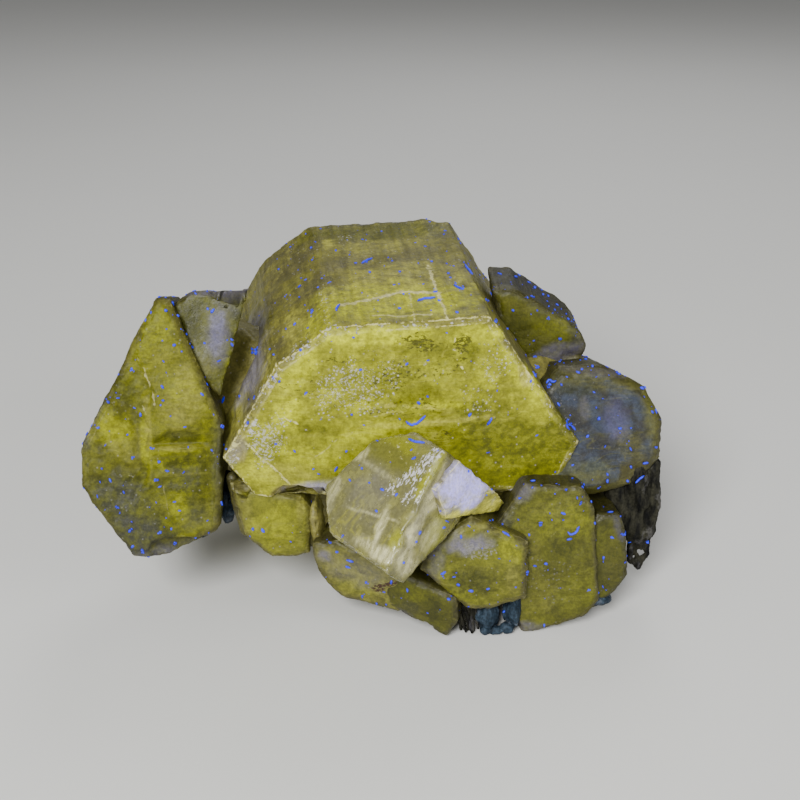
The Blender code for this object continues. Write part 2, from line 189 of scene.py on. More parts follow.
# Breaks in the crystals, each in its crystal's own end face: (across, up, out), radii and seed.
BREAKS = {
    "main": (
        ((-8.6, -6.9, 0), (2.3, 1.1, 1.6), 11), ((-13.4, -2.6, 0.4), (0.9, 2, 1), 12),
        ((-7.9, 7.3, 0.3), (0.9, 0.7, 1.2), 13), ((9.6, 3, 0.4), (0.7, 1.3, 0.9), 14),
        ((-11.6, 6.4, -27.5), (1.8, 1.4, 2.2), 15), ((8, 9, -28), (3.2, 2.2, 3.5), 16),
        ((9, -7, -26), (4.6, 3.2, 5), 17), ((-3, -1, -28.6), (7, 4.5, 1.5), 18),
    ),
    "left": (
        ((-3.6, -0.4, 0.5), (3.3, 4.4, 1), 21), ((2.2, -9.9, 0.2), (3.2, 1.2, 1.1), 23),
        ((-4.8, -8.8, 0.2), (1.5, 1.8, 1.2), 24),
    ),
    "upper_left": (((1.4, 3.9, -0.2), (1.4, 0.8, 1.2), 31),),
    "right": (((3.2, -3.8, 0.3), (1.8, 1.6, 0.9), 41),),
    "upper_right": (((2.9, -1.8, 0.2), (1.3, 1, 0.8), 45),),
    "front_right": (
        ((1.2, -6.6, 0), (1.3, 0.9, 2), 51), ((3.6, -5.6, 0), (1, 0.8, 2), 52),
        ((-3.6, -6, 0), (1.4, 1.4, 2.4), 53),
    ),
    "far_right": (((1.6, -4, 0), (1, 0.9, 1.6), 54),),
    "front_middle": (((2.6, 3.4, 0.2), (1.2, 0.7, 0.9), 61),),
    "clear": (((4.6, -2.2, -0.2), (0.8, 2, 0.9), 72),),
    "lower_left": (((1.6, 3.6, 0), (1.8, 0.8, 1.2), 81), ((-2.2, 3.3, 0), (0.8, 1.3, 1.2), 82)),
    "shelf_left": (((0.6, 3.3, 0), (1.7, 1, 1.4), 91), ((-2, -2.9, 0), (1.2, 0.7, 1.6), 92)),
    "shelf_right": (((0.2, -2.6, 0), (1.1, 0.8, 1.6), 93),),
}


# ---- places and noise ----

def frame_of(turn, lift):
    """Rotation whose X and Y span an end face and whose Z is the crystal's outward axis."""
    t, p = math.radians(turn), math.radians(lift)
    out = Vector((math.sin(t) * math.cos(p), -math.cos(t) * math.cos(p), math.sin(p)))
    across = Vector((math.cos(t), math.sin(t), 0.0))
    return Matrix((across, out.cross(across), out)).transposed()


LAYOUT = Matrix.Translation((-MIDDLE[0] * MM, -MIDDLE[1] * MM, 0)) @ Matrix.Diagonal((MM, MM, MM, 1))


def place_of(face, turn, lift):
    """Matrix from a crystal's own millimetres to the frame's metres."""
    return LAYOUT @ Matrix.Translation(face) @ frame_of(turn, lift).to_4x4()


def moved(points, matrix):
    """An array of points through a 4x4 matrix."""
    m = np.array(matrix)
    return points @ m[:3, :3].T + m[:3, 3]


def noise(points, scale, seed):
    """Smooth noise from -1 to 1 at each point. Scale is one number or one for each axis."""
    p = points * np.asarray(scale, float) + seed * 7.31
    cell = np.floor(p).astype(np.int64)
    part = p - cell
    part = part * part * (3 - 2 * part)
    total = np.zeros(len(points))
    for corner in itertools.product((0, 1), repeat=3):
        q = cell + corner
        mixed = (q[:, 0] * 73856093) ^ (q[:, 1] * 19349663) ^ (q[:, 2] * 83492791) ^ (seed * 26544357)
        mixed = ((mixed ^ (mixed >> 13)) * 1274126177) & 0xFFFFFFFF
        value = ((mixed ^ (mixed >> 15)) & 0xFFFF) / 32767.5 - 1
        total += value * np.prod(np.where(corner, part, 1 - part), axis=1)
    return total


def rough_noise(points, scale, seed, octaves=4):
    """Noise summed over octaves, each twice as fine and half as high."""
    return sum(noise(points, np.asarray(scale) * 2 ** i, seed + i) / 2 ** i for i in range(octaves))


def step(values, low, high):
    """0 below low, 1 above high and smooth between."""
    t = np.clip((values - low) / (high - low), 0, 1)
    return t * t * (3 - 2 * t)


# ---- crystals as sets of planes ----

def planes_of(spec):
    """A crystal's face normals, distances and kinds, in its own frame."""
    normals, distances, kinds = [(0, 0, 1), (0, 0, -1)], [0.0, spec["length"]], [END, BACK]
    slope = math.radians(RIM_SLOPE)
    flare = math.radians(spec.get("flare", 0))
    for heading, distance in spec["sides"]:
        c, s = math.cos(math.radians(heading)), math.sin(math.radians(heading))
        normals.append((c * math.cos(flare), s * math.cos(flare), math.sin(flare)))
        distances.append(distance * math.cos(flare))
        kinds.append(SIDE)
        normals.append((c * math.sin(slope), s * math.sin(slope), math.cos(slope)))
        distances.append((distance - spec["rim"]) * math.sin(slope))
        kinds.append(RIM)
        normals.append((c * math.sin(slope), s * math.sin(slope), -math.cos(slope)))
        distances.append((distance - spec["back"]) * math.sin(slope) + spec["length"] * math.cos(slope))
        kinds.append(BACK)
    for normal, distance in spec.get("facets", ()):
        normals.append(normal)
        distances.append(distance)
        kinds.append(END)
    down = frame_of(spec["turn"], spec["lift"]).transposed() @ Vector((0, 0, -1))
    normals.append(tuple(down))
    distances.append(spec["face"][2])
    kinds.append(UNDER)
    return np.array(normals, float), np.array(distances, float), np.array(kinds)


def boulder_planes(centre, radii, seed, faces=18):
    """The planes of a convex broken lump, set by its seed."""
    rng = np.random.default_rng(seed)
    normals, distances = [], []
    for i in range(faces):
        z = 1 - (2 * i + 1) / faces
        ring = math.sqrt(1 - z * z)
        turn = i * GOLDEN_ANGLE + rng.uniform(-0.5, 0.5)
        normal = np.array((ring * math.cos(turn), ring * math.sin(turn), z)) / radii
        size = np.linalg.norm(normal)
        normals.append(normal / size)
        distances.append(rng.uniform(0.86, 1.0) / size + normals[-1] @ np.array(centre))
    return np.array(normals), np.array(distances)


def convex(points, normals, distances, soft):
    """How far points are outside a convex body with rounded edges: value, gradient, face shares, reaches."""
    reach = points @ normals.T - distances
    top = reach.max(axis=1, keepdims=True)
    share = np.exp((reach - top) / soft)
    total = share.sum(axis=1, keepdims=True)
    share /= total
    return top[:, 0] + soft * np.log(total[:, 0]), share @ normals, share, reach


def hull_mesh(normals, distances):
    """A closed bmesh of the convex body that the planes leave of a block."""
    bm = bmesh.new()
    bmesh.ops.create_cube(bm, size=BLOCK * 2)
    for normal, distance in zip(normals, distances):
        way = Vector(normal)
        geom = bm.verts[:] + bm.edges[:] + bm.faces[:]
        done = bmesh.ops.bisect_plane(bm, geom=geom, plane_co=way * distance, plane_no=way, clear_outer=True,
                                      dist=WELD)
        rim = [e for e in done["geom_cut"] if isinstance(e, bmesh.types.BMEdge)]
        if rim:
            bmesh.ops.edgeloop_fill(bm, edges=rim)
    bmesh.ops.remove_doubles(bm, verts=bm.verts, dist=LEAST_EDGE)
    bmesh.ops.delete(bm, geom=bm.edges[:], context="EDGES_FACES")
    made = bmesh.ops.convex_hull(bm, input=bm.verts, use_existing_faces=False)
    spare = {v for v in made["geom_interior"] + made["geom_unused"] if isinstance(v, bmesh.types.BMVert)}
    bmesh.ops.delete(bm, geom=list(spare), context="VERTS")
    return bm


def add_object(name, data):
    """A new object in the scene."""
    obj = bpy.data.objects.new(name, data)
    bpy.context.scene.collection.objects.link(obj)
    return obj


def remeshed(mesh, cell):
    """Points and quads of a closed mesh, drawn anew in even cells."""
    obj = add_object("remesh", mesh)
    modifier = obj.modifiers.new("cells", "REMESH")
    modifier.mode = "VOXEL"
    modifier.voxel_size = cell
    made = bpy.data.meshes.new_from_object(obj.evaluated_get(bpy.context.evaluated_depsgraph_get()))
    points = np.empty(len(made.vertices) * 3)
    made.vertices.foreach_get("co", points)
    faces = [tuple(p.vertices) for p in made.polygons]
    bpy.data.objects.remove(obj)
    bpy.data.meshes.remove(mesh)
    bpy.data.meshes.remove(made)
    return points.reshape(-1, 3), faces


def filled_mesh(bm, name="block"):
    """A bmesh as a mesh. The bmesh is used up."""
    mesh = bpy.data.meshes.new(name)
    bm.to_mesh(mesh)
    bm.free()
    return mesh


def worn_body(points, planes, breaks, soft, seed):
    """Moves points onto the rounded body less its breaks. Gives points, normals and the masks."""
    normals, distances, kinds = planes
    for _ in range(4):
        value, gradient, share, reach = convex(points, normals, distances, soft)
        first, second = np.argsort(reach, axis=1)[:, :-3:-1].T
        bend = np.linalg.norm(normals[first] - normals[second], axis=1)
        rows = np.arange(len(points))
        gap = (reach[rows, first] - reach[rows, second]) / np.maximum(bend, 0.05)
        broken = share[:, kinds >= BACK].sum(axis=1)
        for i, (cut_normals, cut_distances) in enumerate(breaks):
            inside, lean, _, _ = convex(points, cut_normals, cut_distances, BREAK_ROUND)
            ripple = RIPPLE * rough_noise(points, 0.9, seed + 31 * i, 2)
            hollow = ripple - inside
            mix = 1 / (1 + np.exp(np.clip((value - hollow) / soft, -40, 40)))
            value = np.maximum(value, hollow) + soft * np.log1p(np.exp(-abs(value - hollow) / soft))
            gradient = gradient * (1 - mix[:, None]) - lean * mix[:, None]
            broken = np.maximum(broken * (1 - mix), mix)
        size = np.maximum((gradient ** 2).sum(axis=1), 0.15)
        points = points - gradient * (value / size)[:, None]
    out = gradient / np.linalg.norm(gradient, axis=1, keepdims=True)
    masks = {"gap": np.minimum(gap, MOST_GAP), "broken": broken}
    for name, kind in (("end", END), ("side", SIDE), ("rim", RIM)):
        masks[name] = share[:, kinds == kind].sum(axis=1) * (1 - broken)
    return points, out, masks


# ---- relief of each crystal ----

# Fields of small round pits in the end faces: (centre, reach, count, seed, radii).
MAIN_PITS = (
    ((3.6, 4.4), (4.4, 1.6), 90, 201, (0.08, 0.26)), ((0.0, 1.0), (11.0, 5.0), 120, 202, (0.07, 0.2)),
    ((-9.0, 2.0), (2.6, 3.4), 50, 203, (0.1, 0.35)),
)
PLAIN_PITS = ((0, 0), (4, 5), 26, 241, (0.08, 0.2))

# Patches of the main crystal's etch pits: (count, centre, reach).
ETCH_PATCHES = ((14, (4.2, 4.6), (3.2, 1.2)), (12, (-2.5, 2.6), (6.5, 2.4)), (8, (6.0, 0.4), (3.0, 2.2)))

# Heights of the left crystal's rough part and how far across it reaches at each.
LEFT_ROUGH_HEIGHTS = (-8.0, -3.4, -0.9, 1.1, 2.9, 5.5)
LEFT_ROUGH_REACHES = (-2.4, -0.1, 0.2, 0.0, 0.4, -0.6)


def main_pits():
    """The main crystal's etch pits, as (x, y, reach, stretch, turn): the same as in the solid."""
    rng = np.random.default_rng(77)
    taken = []
    for count, (mid_x, mid_y), (wide, high) in ETCH_PATCHES:
        full = len(taken) + count
        while len(taken) < full:
            x, y = mid_x + wide * rng.uniform(-1, 1), mid_y + high * rng.uniform(-1, 1)
            radius, stretch = rng.uniform(0.16, 0.42), rng.uniform(1.0, 2.2)
            if all(math.hypot(x - a, y - b) > 1.5 * (radius * stretch + c) for a, b, c, _ in taken):
                taken.append((x, y, radius * stretch, stretch))
    return [(*pit, rng.uniform(-0.4, 0.4)) for pit in taken]


def small_pits(points, centre, reach, count, seed, radii):
    """Depth of a seeded field of small round pits in the end face."""
    rng = np.random.default_rng(seed)
    depth = np.zeros(len(points))
    for _ in range(count):
        x = centre[0] + reach[0] * rng.uniform(-1, 1)
        y = centre[1] + reach[1] * rng.uniform(-1, 1)
        radius, stretch = rng.uniform(*radii), rng.uniform(0.5, 1.0)
        away = np.hypot(points[:, 0] - x, (points[:, 1] - y) / stretch) / radius
        depth = np.maximum(depth, 0.5 * radius * np.clip(1 - away ** 2, 0, 1))
    return depth


def terraces(points, centre, spacing, height, seed):
    """Low growth steps round a point, each with six sides and a slightly wandering edge."""
    x, y = points[:, 0] - centre[0], points[:, 1] - centre[1]
    reach = np.max([x * math.cos(a) + y * math.sin(a) for a in np.radians(range(30, 390, 60))], axis=0)
    reach = reach + 0.7 * noise(points, 0.35, seed) + 0.12 * noise(points, 1.7, seed + 1)
    level = reach / spacing
    part = level - np.floor(level)
    return -height * (np.floor(level) + step(part, 0.8, 1.0))


def main_relief(points, masks):
    """The main crystal's pits, growth steps, etching and the groove across its end face."""
    x, y = points[:, 0], points[:, 1]
    depth = np.max([small_pits(points, *field) for field in MAIN_PITS], axis=0)
    for px, py, reach, stretch, turn in main_pits():
        c, s = math.cos(turn), math.sin(turn)
        a, b = ((x - px) * c + (y - py) * s) / reach, ((py - y) * c + (x - px) * s) / reach * stretch
        away = np.max([a * math.cos(t) + b * math.sin(t) for t in np.radians(range(0, 360, 72))], axis=0)
        depth = np.maximum(depth, 0.3 * reach / 0.42 / stretch * np.clip((0.9 - away) / 0.62, 0, 1))
    lift = terraces(points, (-3.0, 3.5), 2.6, 0.035, 204) + 0.05 * rough_noise(points, 0.5, 206, 3)
    etched = step(noise(points, 0.22, 207) + 0.045 * y, -0.25, 0.35)
    lift = lift + etched * 0.05 * rough_noise(points, 2.2, 208, 3)
    groove = np.abs(y + 0.9 - 0.035 * (x + 1) ** 2 * (x < 12) - 0.3 * noise(points, 0.3, 209))
    lift = lift - 0.09 * np.clip(1 - groove / 0.35, 0, 1) * step(x, -7.5, -5.5) * (1 - step(x, 5.0, 7.0))
    return (lift - depth) * masks["end"]


def left_relief(points, masks):
    """The left crystal: rough on its left, with a stair and a notch in the smooth strip on its right."""
    x, y = points[:, 0], points[:, 1]
    bound = np.interp(y, LEFT_ROUGH_HEIGHTS, LEFT_ROUGH_REACHES)
    rough = step(bound - x + 0.25 * noise(points, 1.4, 221), -0.1, 0.25)
    rough = rough * step(y, -9, -6) * (1 - step(y, 5.2, 7.4))
    lift = rough * (0.16 * rough_noise(points, 1.1, 222, 4) - 0.18)
    strip = (1 - rough) * step(x, -0.1, 0.7) * (1 - step(x, 3.5, 3.8))
    lift = lift - 0.1 * strip * step(-y, 1.8, 2.05) * (1 - step(-y, 3.25, 3.5))
    lift = lift - 0.07 * strip * step(-y, 2.5, 2.8) * (1 - step(-y, 4.3, 4.7))
    notch = -0.1 - 0.8 * ((x - 2.3) / 2.0) ** 2 + 0.08 * noise(points, 1.3, 225)
    fall = np.clip((notch - y) / np.maximum(notch + 1.3, 0.25), 0, 1) + 0.6 * step(notch - y, 0.0, 0.2)
    lift = lift - 0.4 * fall * (1 - step(-y, 1.3, 1.55)) * np.clip(1 - ((x - 2.3) / 2.25) ** 4, 0, 1)
    lift = lift - 0.3 * step(x, 3.2, 4.9) * step(-y, -1.5, 1.0) * (1 - step(-y, 6.5, 8.5))
    return (lift + 0.03 * rough_noise(points, 1.3, 224, 3)) * masks["end"]


def clear_relief(points, masks):
    """The clear crystal's nearly smooth end face."""
    return (0.02 * rough_noise(points, 0.8, 231, 2)) * masks["end"]


def plain_relief(points, masks):
    """Low swells and a few pits, as on the other crystals."""
    return (0.04 * rough_noise(points, 0.7, 242, 4) - small_pits(points, *PLAIN_PITS)) * masks["end"]


RELIEFS = {"main": main_relief, "left": left_relief, "clear": clear_relief}


def wear(points, masks, seed, sizes):
    """Height of what every crystal shares: grooves along its sides, chipped edges and broken grain."""
    grooves = rough_noise(points, (2.1, 2.1, 0.05), seed + 1, 3) * sizes.groove_depth / MM * masks["side"]
    nick = np.clip(noise(points, 1.1, seed + 2) - 0.15, 0, 1)
    nick = nick + 0.7 * np.clip(noise(points, 3.1, seed + 3), 0, 1)
    swell = rough_noise(points, 0.4, seed + 6, 2) * sizes.unevenness / MM
    chips = np.exp(-2 * masks["gap"] / EDGE_WEAR) * nick * sizes.chip_depth / MM
    grain = rough_noise(points, 0.8, seed + 4, 5) * sizes.break_depth / MM * masks["broken"]
    return grooves + swell - chips + grain


# ---- patches of colour ----

# Of these, the dull blue-grey tone is painted shade, laid where the crystals fall into shadow.
TONES = ("yellow", "olive", "milk", "lilac", "violet", "smoke", "frost", "speckle", "fleck", "rust")

# Patches on the end faces, in each crystal's own mm and degrees: (x, y, half width, half height, turn,
# strength).
FACE_PATCHES = {
    "main": {
        "yellow": (
            (-2, 6.6, 5.5, 0.9, 3, 1), (6.4, 6.4, 3, 0.9, 0, 0.9), (-8.1, 4, 1.1, 2.2, -35, 0.8),
            (-9.3, 0.4, 1.4, 1.8, -20, 0.9), (9.6, 2.2, 0.9, 4.8, 36, 0.8), (3, 0.6, 3.2, 0.4, 0, 0.8),
            (-2, -1.4, 6, 0.7, 8, 0.6), (-8, -3.2, 3.5, 1, -10, 0.6), (-3.4, 0.9, 3, 0.5, 14, 0.5),
            (6.4, 2.6, 1.6, 0.7, -30, 0.4), (-11.6, -4.4, 1.3, 1.6, -30, 0.5),
        ),
        "olive": (
            (5.4, 4.9, 1.1, 1, 0, 0.75), (1.8, 5.2, 2.8, 1, -8, 0.55), (-1, 3.4, 4, 1.3, 10, 0.4),
            (0.5, 1.6, 3, 1.4, -6, 0.5), (8, -3.6, 7, 3.6, -35, 1), (12.2, -3.4, 2, 4.4, -25, 1),
            (-9, -2.6, 4, 2, 0, 0.3), (-6.9, -1, 2.2, 1.1, -25, 0.7), (1.4, -1.5, 4.4, 0.5, 4, 0.4),
        ),
        "milk": ((-9.5, -4.9, 4.2, 1.3, -8, 0.35), (2, -0.9, 5.5, 0.3, 2, 0.8)),
        "lilac": ((-7.6, -6.2, 2.4, 0.8, 12, 0.9), (-13.2, -2.6, 0.8, 1.6, -20, 0.25)),
        "frost": (
            (-10.2, 3.2, 0.5, 2.6, -38, 0.8), (-8, 5.8, 0.6, 2, -48, 0.75), (-5.9, 7.4, 1.6, 0.6, 12, 0.8),
            (-11.9, -0.6, 0.6, 1.6, -28, 0.9), (-13.4, -3, 0.8, 1.6, -20, 0.8),
            (-11.2, -6, 2, 0.5, -30, 0.35), (7.8, 7.3, 1, 0.5, 0, 0.7),
        ),
        "speckle": (
            (-4, 2.4, 4.6, 3.6, 30, 0.8), (5.6, 0.8, 2.6, 1.4, -30, 0.6), (7, 4, 2.2, 2.4, -40, 0.7),
            (-11, -1.8, 1.8, 3, -20, 0.9), (1.6, 3.4, 3, 1.4, 0, 0.35),
        ),
        "fleck": (
            (1.2, 5.9, 2.4, 1, -14, 1), (4.5, 5.6, 0.9, 1.2, 0, 1), (-5, 4.8, 2.2, 0.5, 0, 0.9),
            (3.4, 4.2, 3.4, 1.3, 0, 0.75), (-0.5, 3.2, 4.5, 1.6, 8, 0.8), (3.2, -2.1, 1.8, 0.9, 0, 0.8),
            (0.5, 0.6, 6, 1.4, 0, 0.7), (-8, 3, 2, 2.6, -30, 0.6),
        ),
    },
    "left": {
        "yellow": (
            (-2.6, 0.2, 1.5, 1.9, 0, 1), (-0.3, -0.9, 0.6, 2.2, 0, 0.9), (2.8, 3.2, 1.6, 1.6, 0, 0.6),
            (2, -3, 2.1, 0.7, 0, 0.9), (2.1, -5.6, 0.9, 2, 0, 0.8), (0.6, 7.6, 1.6, 2.4, -20, 0.4),
        ),
        "olive": (
            (-1.8, 2.4, 1.7, 2.8, -6, 0.8), (2.3, -0.7, 2.4, 0.75, 0, 0.9), (2.6, -3.8, 2.8, 2.4, 0, 1),
            (1.9, -2.4, 2.1, 0.45, 0, 0.7), (3.4, -5.6, 1, 3, 0, 0.8), (-0.6, -4.4, 1.2, 0.6, -20, 0.8),
            (-2.6, -5, 3.6, 3, -24, 1), (-1, -8, 4.6, 2.6, -24, 1), (-3.4, 3.2, 1, 2.2, -20, 0.6),
            (-4.4, -2.4, 1.6, 2, -20, 0.8), (5, -3.4, 1.2, 4.4, 0, 0.7),
        ),
        "milk": ((2.5, 1.6, 2, 2.2, 0, 0.7), (1.8, 5.2, 1.8, 1.8, 0, 0.4), (3.2, 3.2, 1.5, 2.6, 20, 0.7)),
        "lilac": ((-1.5, 10, 1.8, 0.7, 0, 0.6), (-0.6, -10.3, 3, 0.6, 8, 0.25)),
        "smoke": (
            (2.3, -0.5, 2, 0.4, 0, 0.2), (-2.8, -5.4, 2.6, 2, -24, 0.5), (-1.6, -8.4, 4.4, 2.2, -24, 0.6),
            (3.6, -7.4, 1.6, 1.4, 0, 0.3), (-0.4, -10, 5.5, 1, 8, 0.8),
        ),
        "speckle": (
            (-2.6, -5.2, 2.8, 2.6, 0, 0.35), (0.4, -8, 3.4, 1.6, 0, 0.2), (-1.8, 1.8, 1.6, 3.2, 0, 0.3),
        ),
        "fleck": ((1.5, 6, 2.4, 3, 0, 0.45),),
    },
    "upper_left": {
        "yellow": ((1, -1.2, 0.5, 1.6, -16, 0.9),),
        "olive": ((-2.2, 2.2, 1.2, 2.4, -20, 0.6),),
        "milk": ((-0.9, -1.6, 1, 1.4, 30, 0.8),),
        "lilac": ((0.2, 0.8, 1.1, 2.8, -8, 0.8), (0, 4.2, 4, 0.5, 0, 0.8)),
        "violet": ((0.1, 1, 0.7, 2.3, -8, 0.6),),
        "smoke": ((0.8, 0.2, 0.8, 1.6, -8, 0.5), (1.6, 2.6, 0.8, 1.2, 0, 0.5)),
        "rust": ((1, 3.5, 1.4, 0.5, 0, 0.4),),
    },
    "upper_right": {
        "yellow": ((1.6, 0.8, 2.2, 1, -24, 0.6),),
        "olive": ((-1.8, 0.2, 1.6, 1.2, -20, 0.5),),
        "milk": ((-2.2, 2.8, 2.4, 0.5, -20, 0.5),),
        "lilac": ((1.6, -1.6, 2.4, 1, 14, 0.9),),
        "smoke": ((3, 0.6, 0.7, 2.4, 0, 0.5),),
        "speckle": ((-0.6, -2, 1.6, 1, 0, 0.6),),
    },
    "right": {
        "yellow": ((4.4, 1.4, 0.8, 3, 6, 0.4), (-1.5, -3.2, 3.2, 1.1, 0, 0.35)),
        "olive": ((-2.4, 4, 3, 1.1, -10, 0.8), (-3.6, 1, 1.2, 2.6, 0, 0.6)),
        "milk": (
            (2.6, -1.4, 1.4, 2, 40, 0.5), (0.4, 4.2, 4.6, 1, -8, 0.5), (4.5, 0.6, 1, 4.2, 6, 0.5),
            (-1, -4, 4, 1, 0, 0.5), (-1.2, 2, 0.6, 1.2, 10, 0.4),
        ),
        "lilac": ((-1.2, 2.1, 0.5, 1.2, 0, 0.5),),
        "speckle": ((-3, 2.4, 2.6, 3, 0, 0.6),),
    },
    "front_right": {
        "yellow": ((0.8, 3.4, 3.2, 1.9, 0, 0.7), (2.4, -2.2, 1.6, 2, 0, 0.4)),
        "olive": ((1, 1, 1.4, 1.6, 30, 0.6),),
        "milk": ((-2, 1, 1.3, 3.2, 12, 0.5), (-1, -3, 1.6, 2.2, 0, 0.4)),
        "lilac": ((-2.4, 5.9, 1.2, 0.9, 0, 0.6), (-1.6, -5.8, 1.6, 0.5, 0, 0.6)),
        "smoke": ((-3.6, 3, 0.8, 3.6, 0, 0.5),),
        "speckle": ((0, -1, 3.4, 3.4, 0, 0.45),),
    },
    "far_right": {
        "yellow": ((0.2, 2, 1.4, 1.3, 0, 0.5),),
        "milk": ((0.8, 0, 1, 3, 0, 0.4),),
        "lilac": ((1.4, 2.8, 0.4, 1.4, 20, 0.7),),
    },
    "front_middle": {
        "yellow": ((2.6, 1.4, 0.9, 1.8, 20, 0.9), (-1.4, -2.4, 1.6, 0.7, -20, 0.5)),
        "olive": ((-0.2, -1.4, 2.4, 1.5, 0, 0.9),),
        "milk": ((-0.4, 3, 1.4, 0.5, 20, 0.9), (2.9, -1, 0.6, 2, 0, 0.6)),
        "lilac": ((-0.6, 1.8, 2.2, 1, 6, 0.9), (-3.2, 0.4, 0.8, 2, 0, 0.4)),
        "smoke": ((2, 3.6, 1.8, 0.5, -25, 0.9),),
        "frost": ((0.4, 1, 1.6, 0.8, 0, 0.55),),
        "speckle": ((0.1, 1.2, 1.8, 1.1, 0, 1),),
    },
    "lower_left": {
        "yellow": ((0.3, -0.2, 2, 2, 0, 0.7),),
        "milk": ((2.4, 1, 0.5, 1.8, 0, 0.7), (-2, 1, 0.6, 1.6, 0, 0.4)),
        "lilac": ((-0.4, 3, 1.2, 0.5, 0, 0.6),),
    },
    "shelf_left": {
        "yellow": ((-0.6, -1.2, 2, 0.7, -12, 0.4),),
        "milk": ((-0.6, 0.6, 2.4, 1.2, -12, 0.6), (2.6, 0.8, 1.6, 0.5, 15, 0.9)),
        "lilac": ((-3, 1.4, 0.7, 0.7, 0, 0.8), (-0.6, 0.4, 3.6, 1.6, -12, 0.25)),
    },
    "shelf_right": {
        "yellow": ((-0.2, 0.9, 1.6, 0.8, 0, 0.6),),
        "olive": ((1.2, -0.2, 0.9, 1.4, 0, 0.7),),
        "milk": ((0, -1.2, 0.8, 0.8, 0, 0.5),),
        "lilac": ((-1.8, -1.4, 1.6, 0.6, 0, 0.5),),
    },
    "spur": {
        "milk": ((-1, -1.4, 3.4, 1, 0, 1), (2.4, -2.2, 2.6, 1.1, -30, 1)),
        "lilac": (
            (-1.8, 1.6, 0.9, 1.2, 0, 0.8), (0.8, 1.6, 0.5, 1.4, 20, 0.6), (0.2, -0.9, 1.6, 0.4, 0, 0.6),
        ),
        "violet": ((-0.7, 1, 3.6, 2.5, -20, 1),),
        "frost": ((-2.4, 2.2, 0.8, 1.2, 0, 0.6),),
    },
}

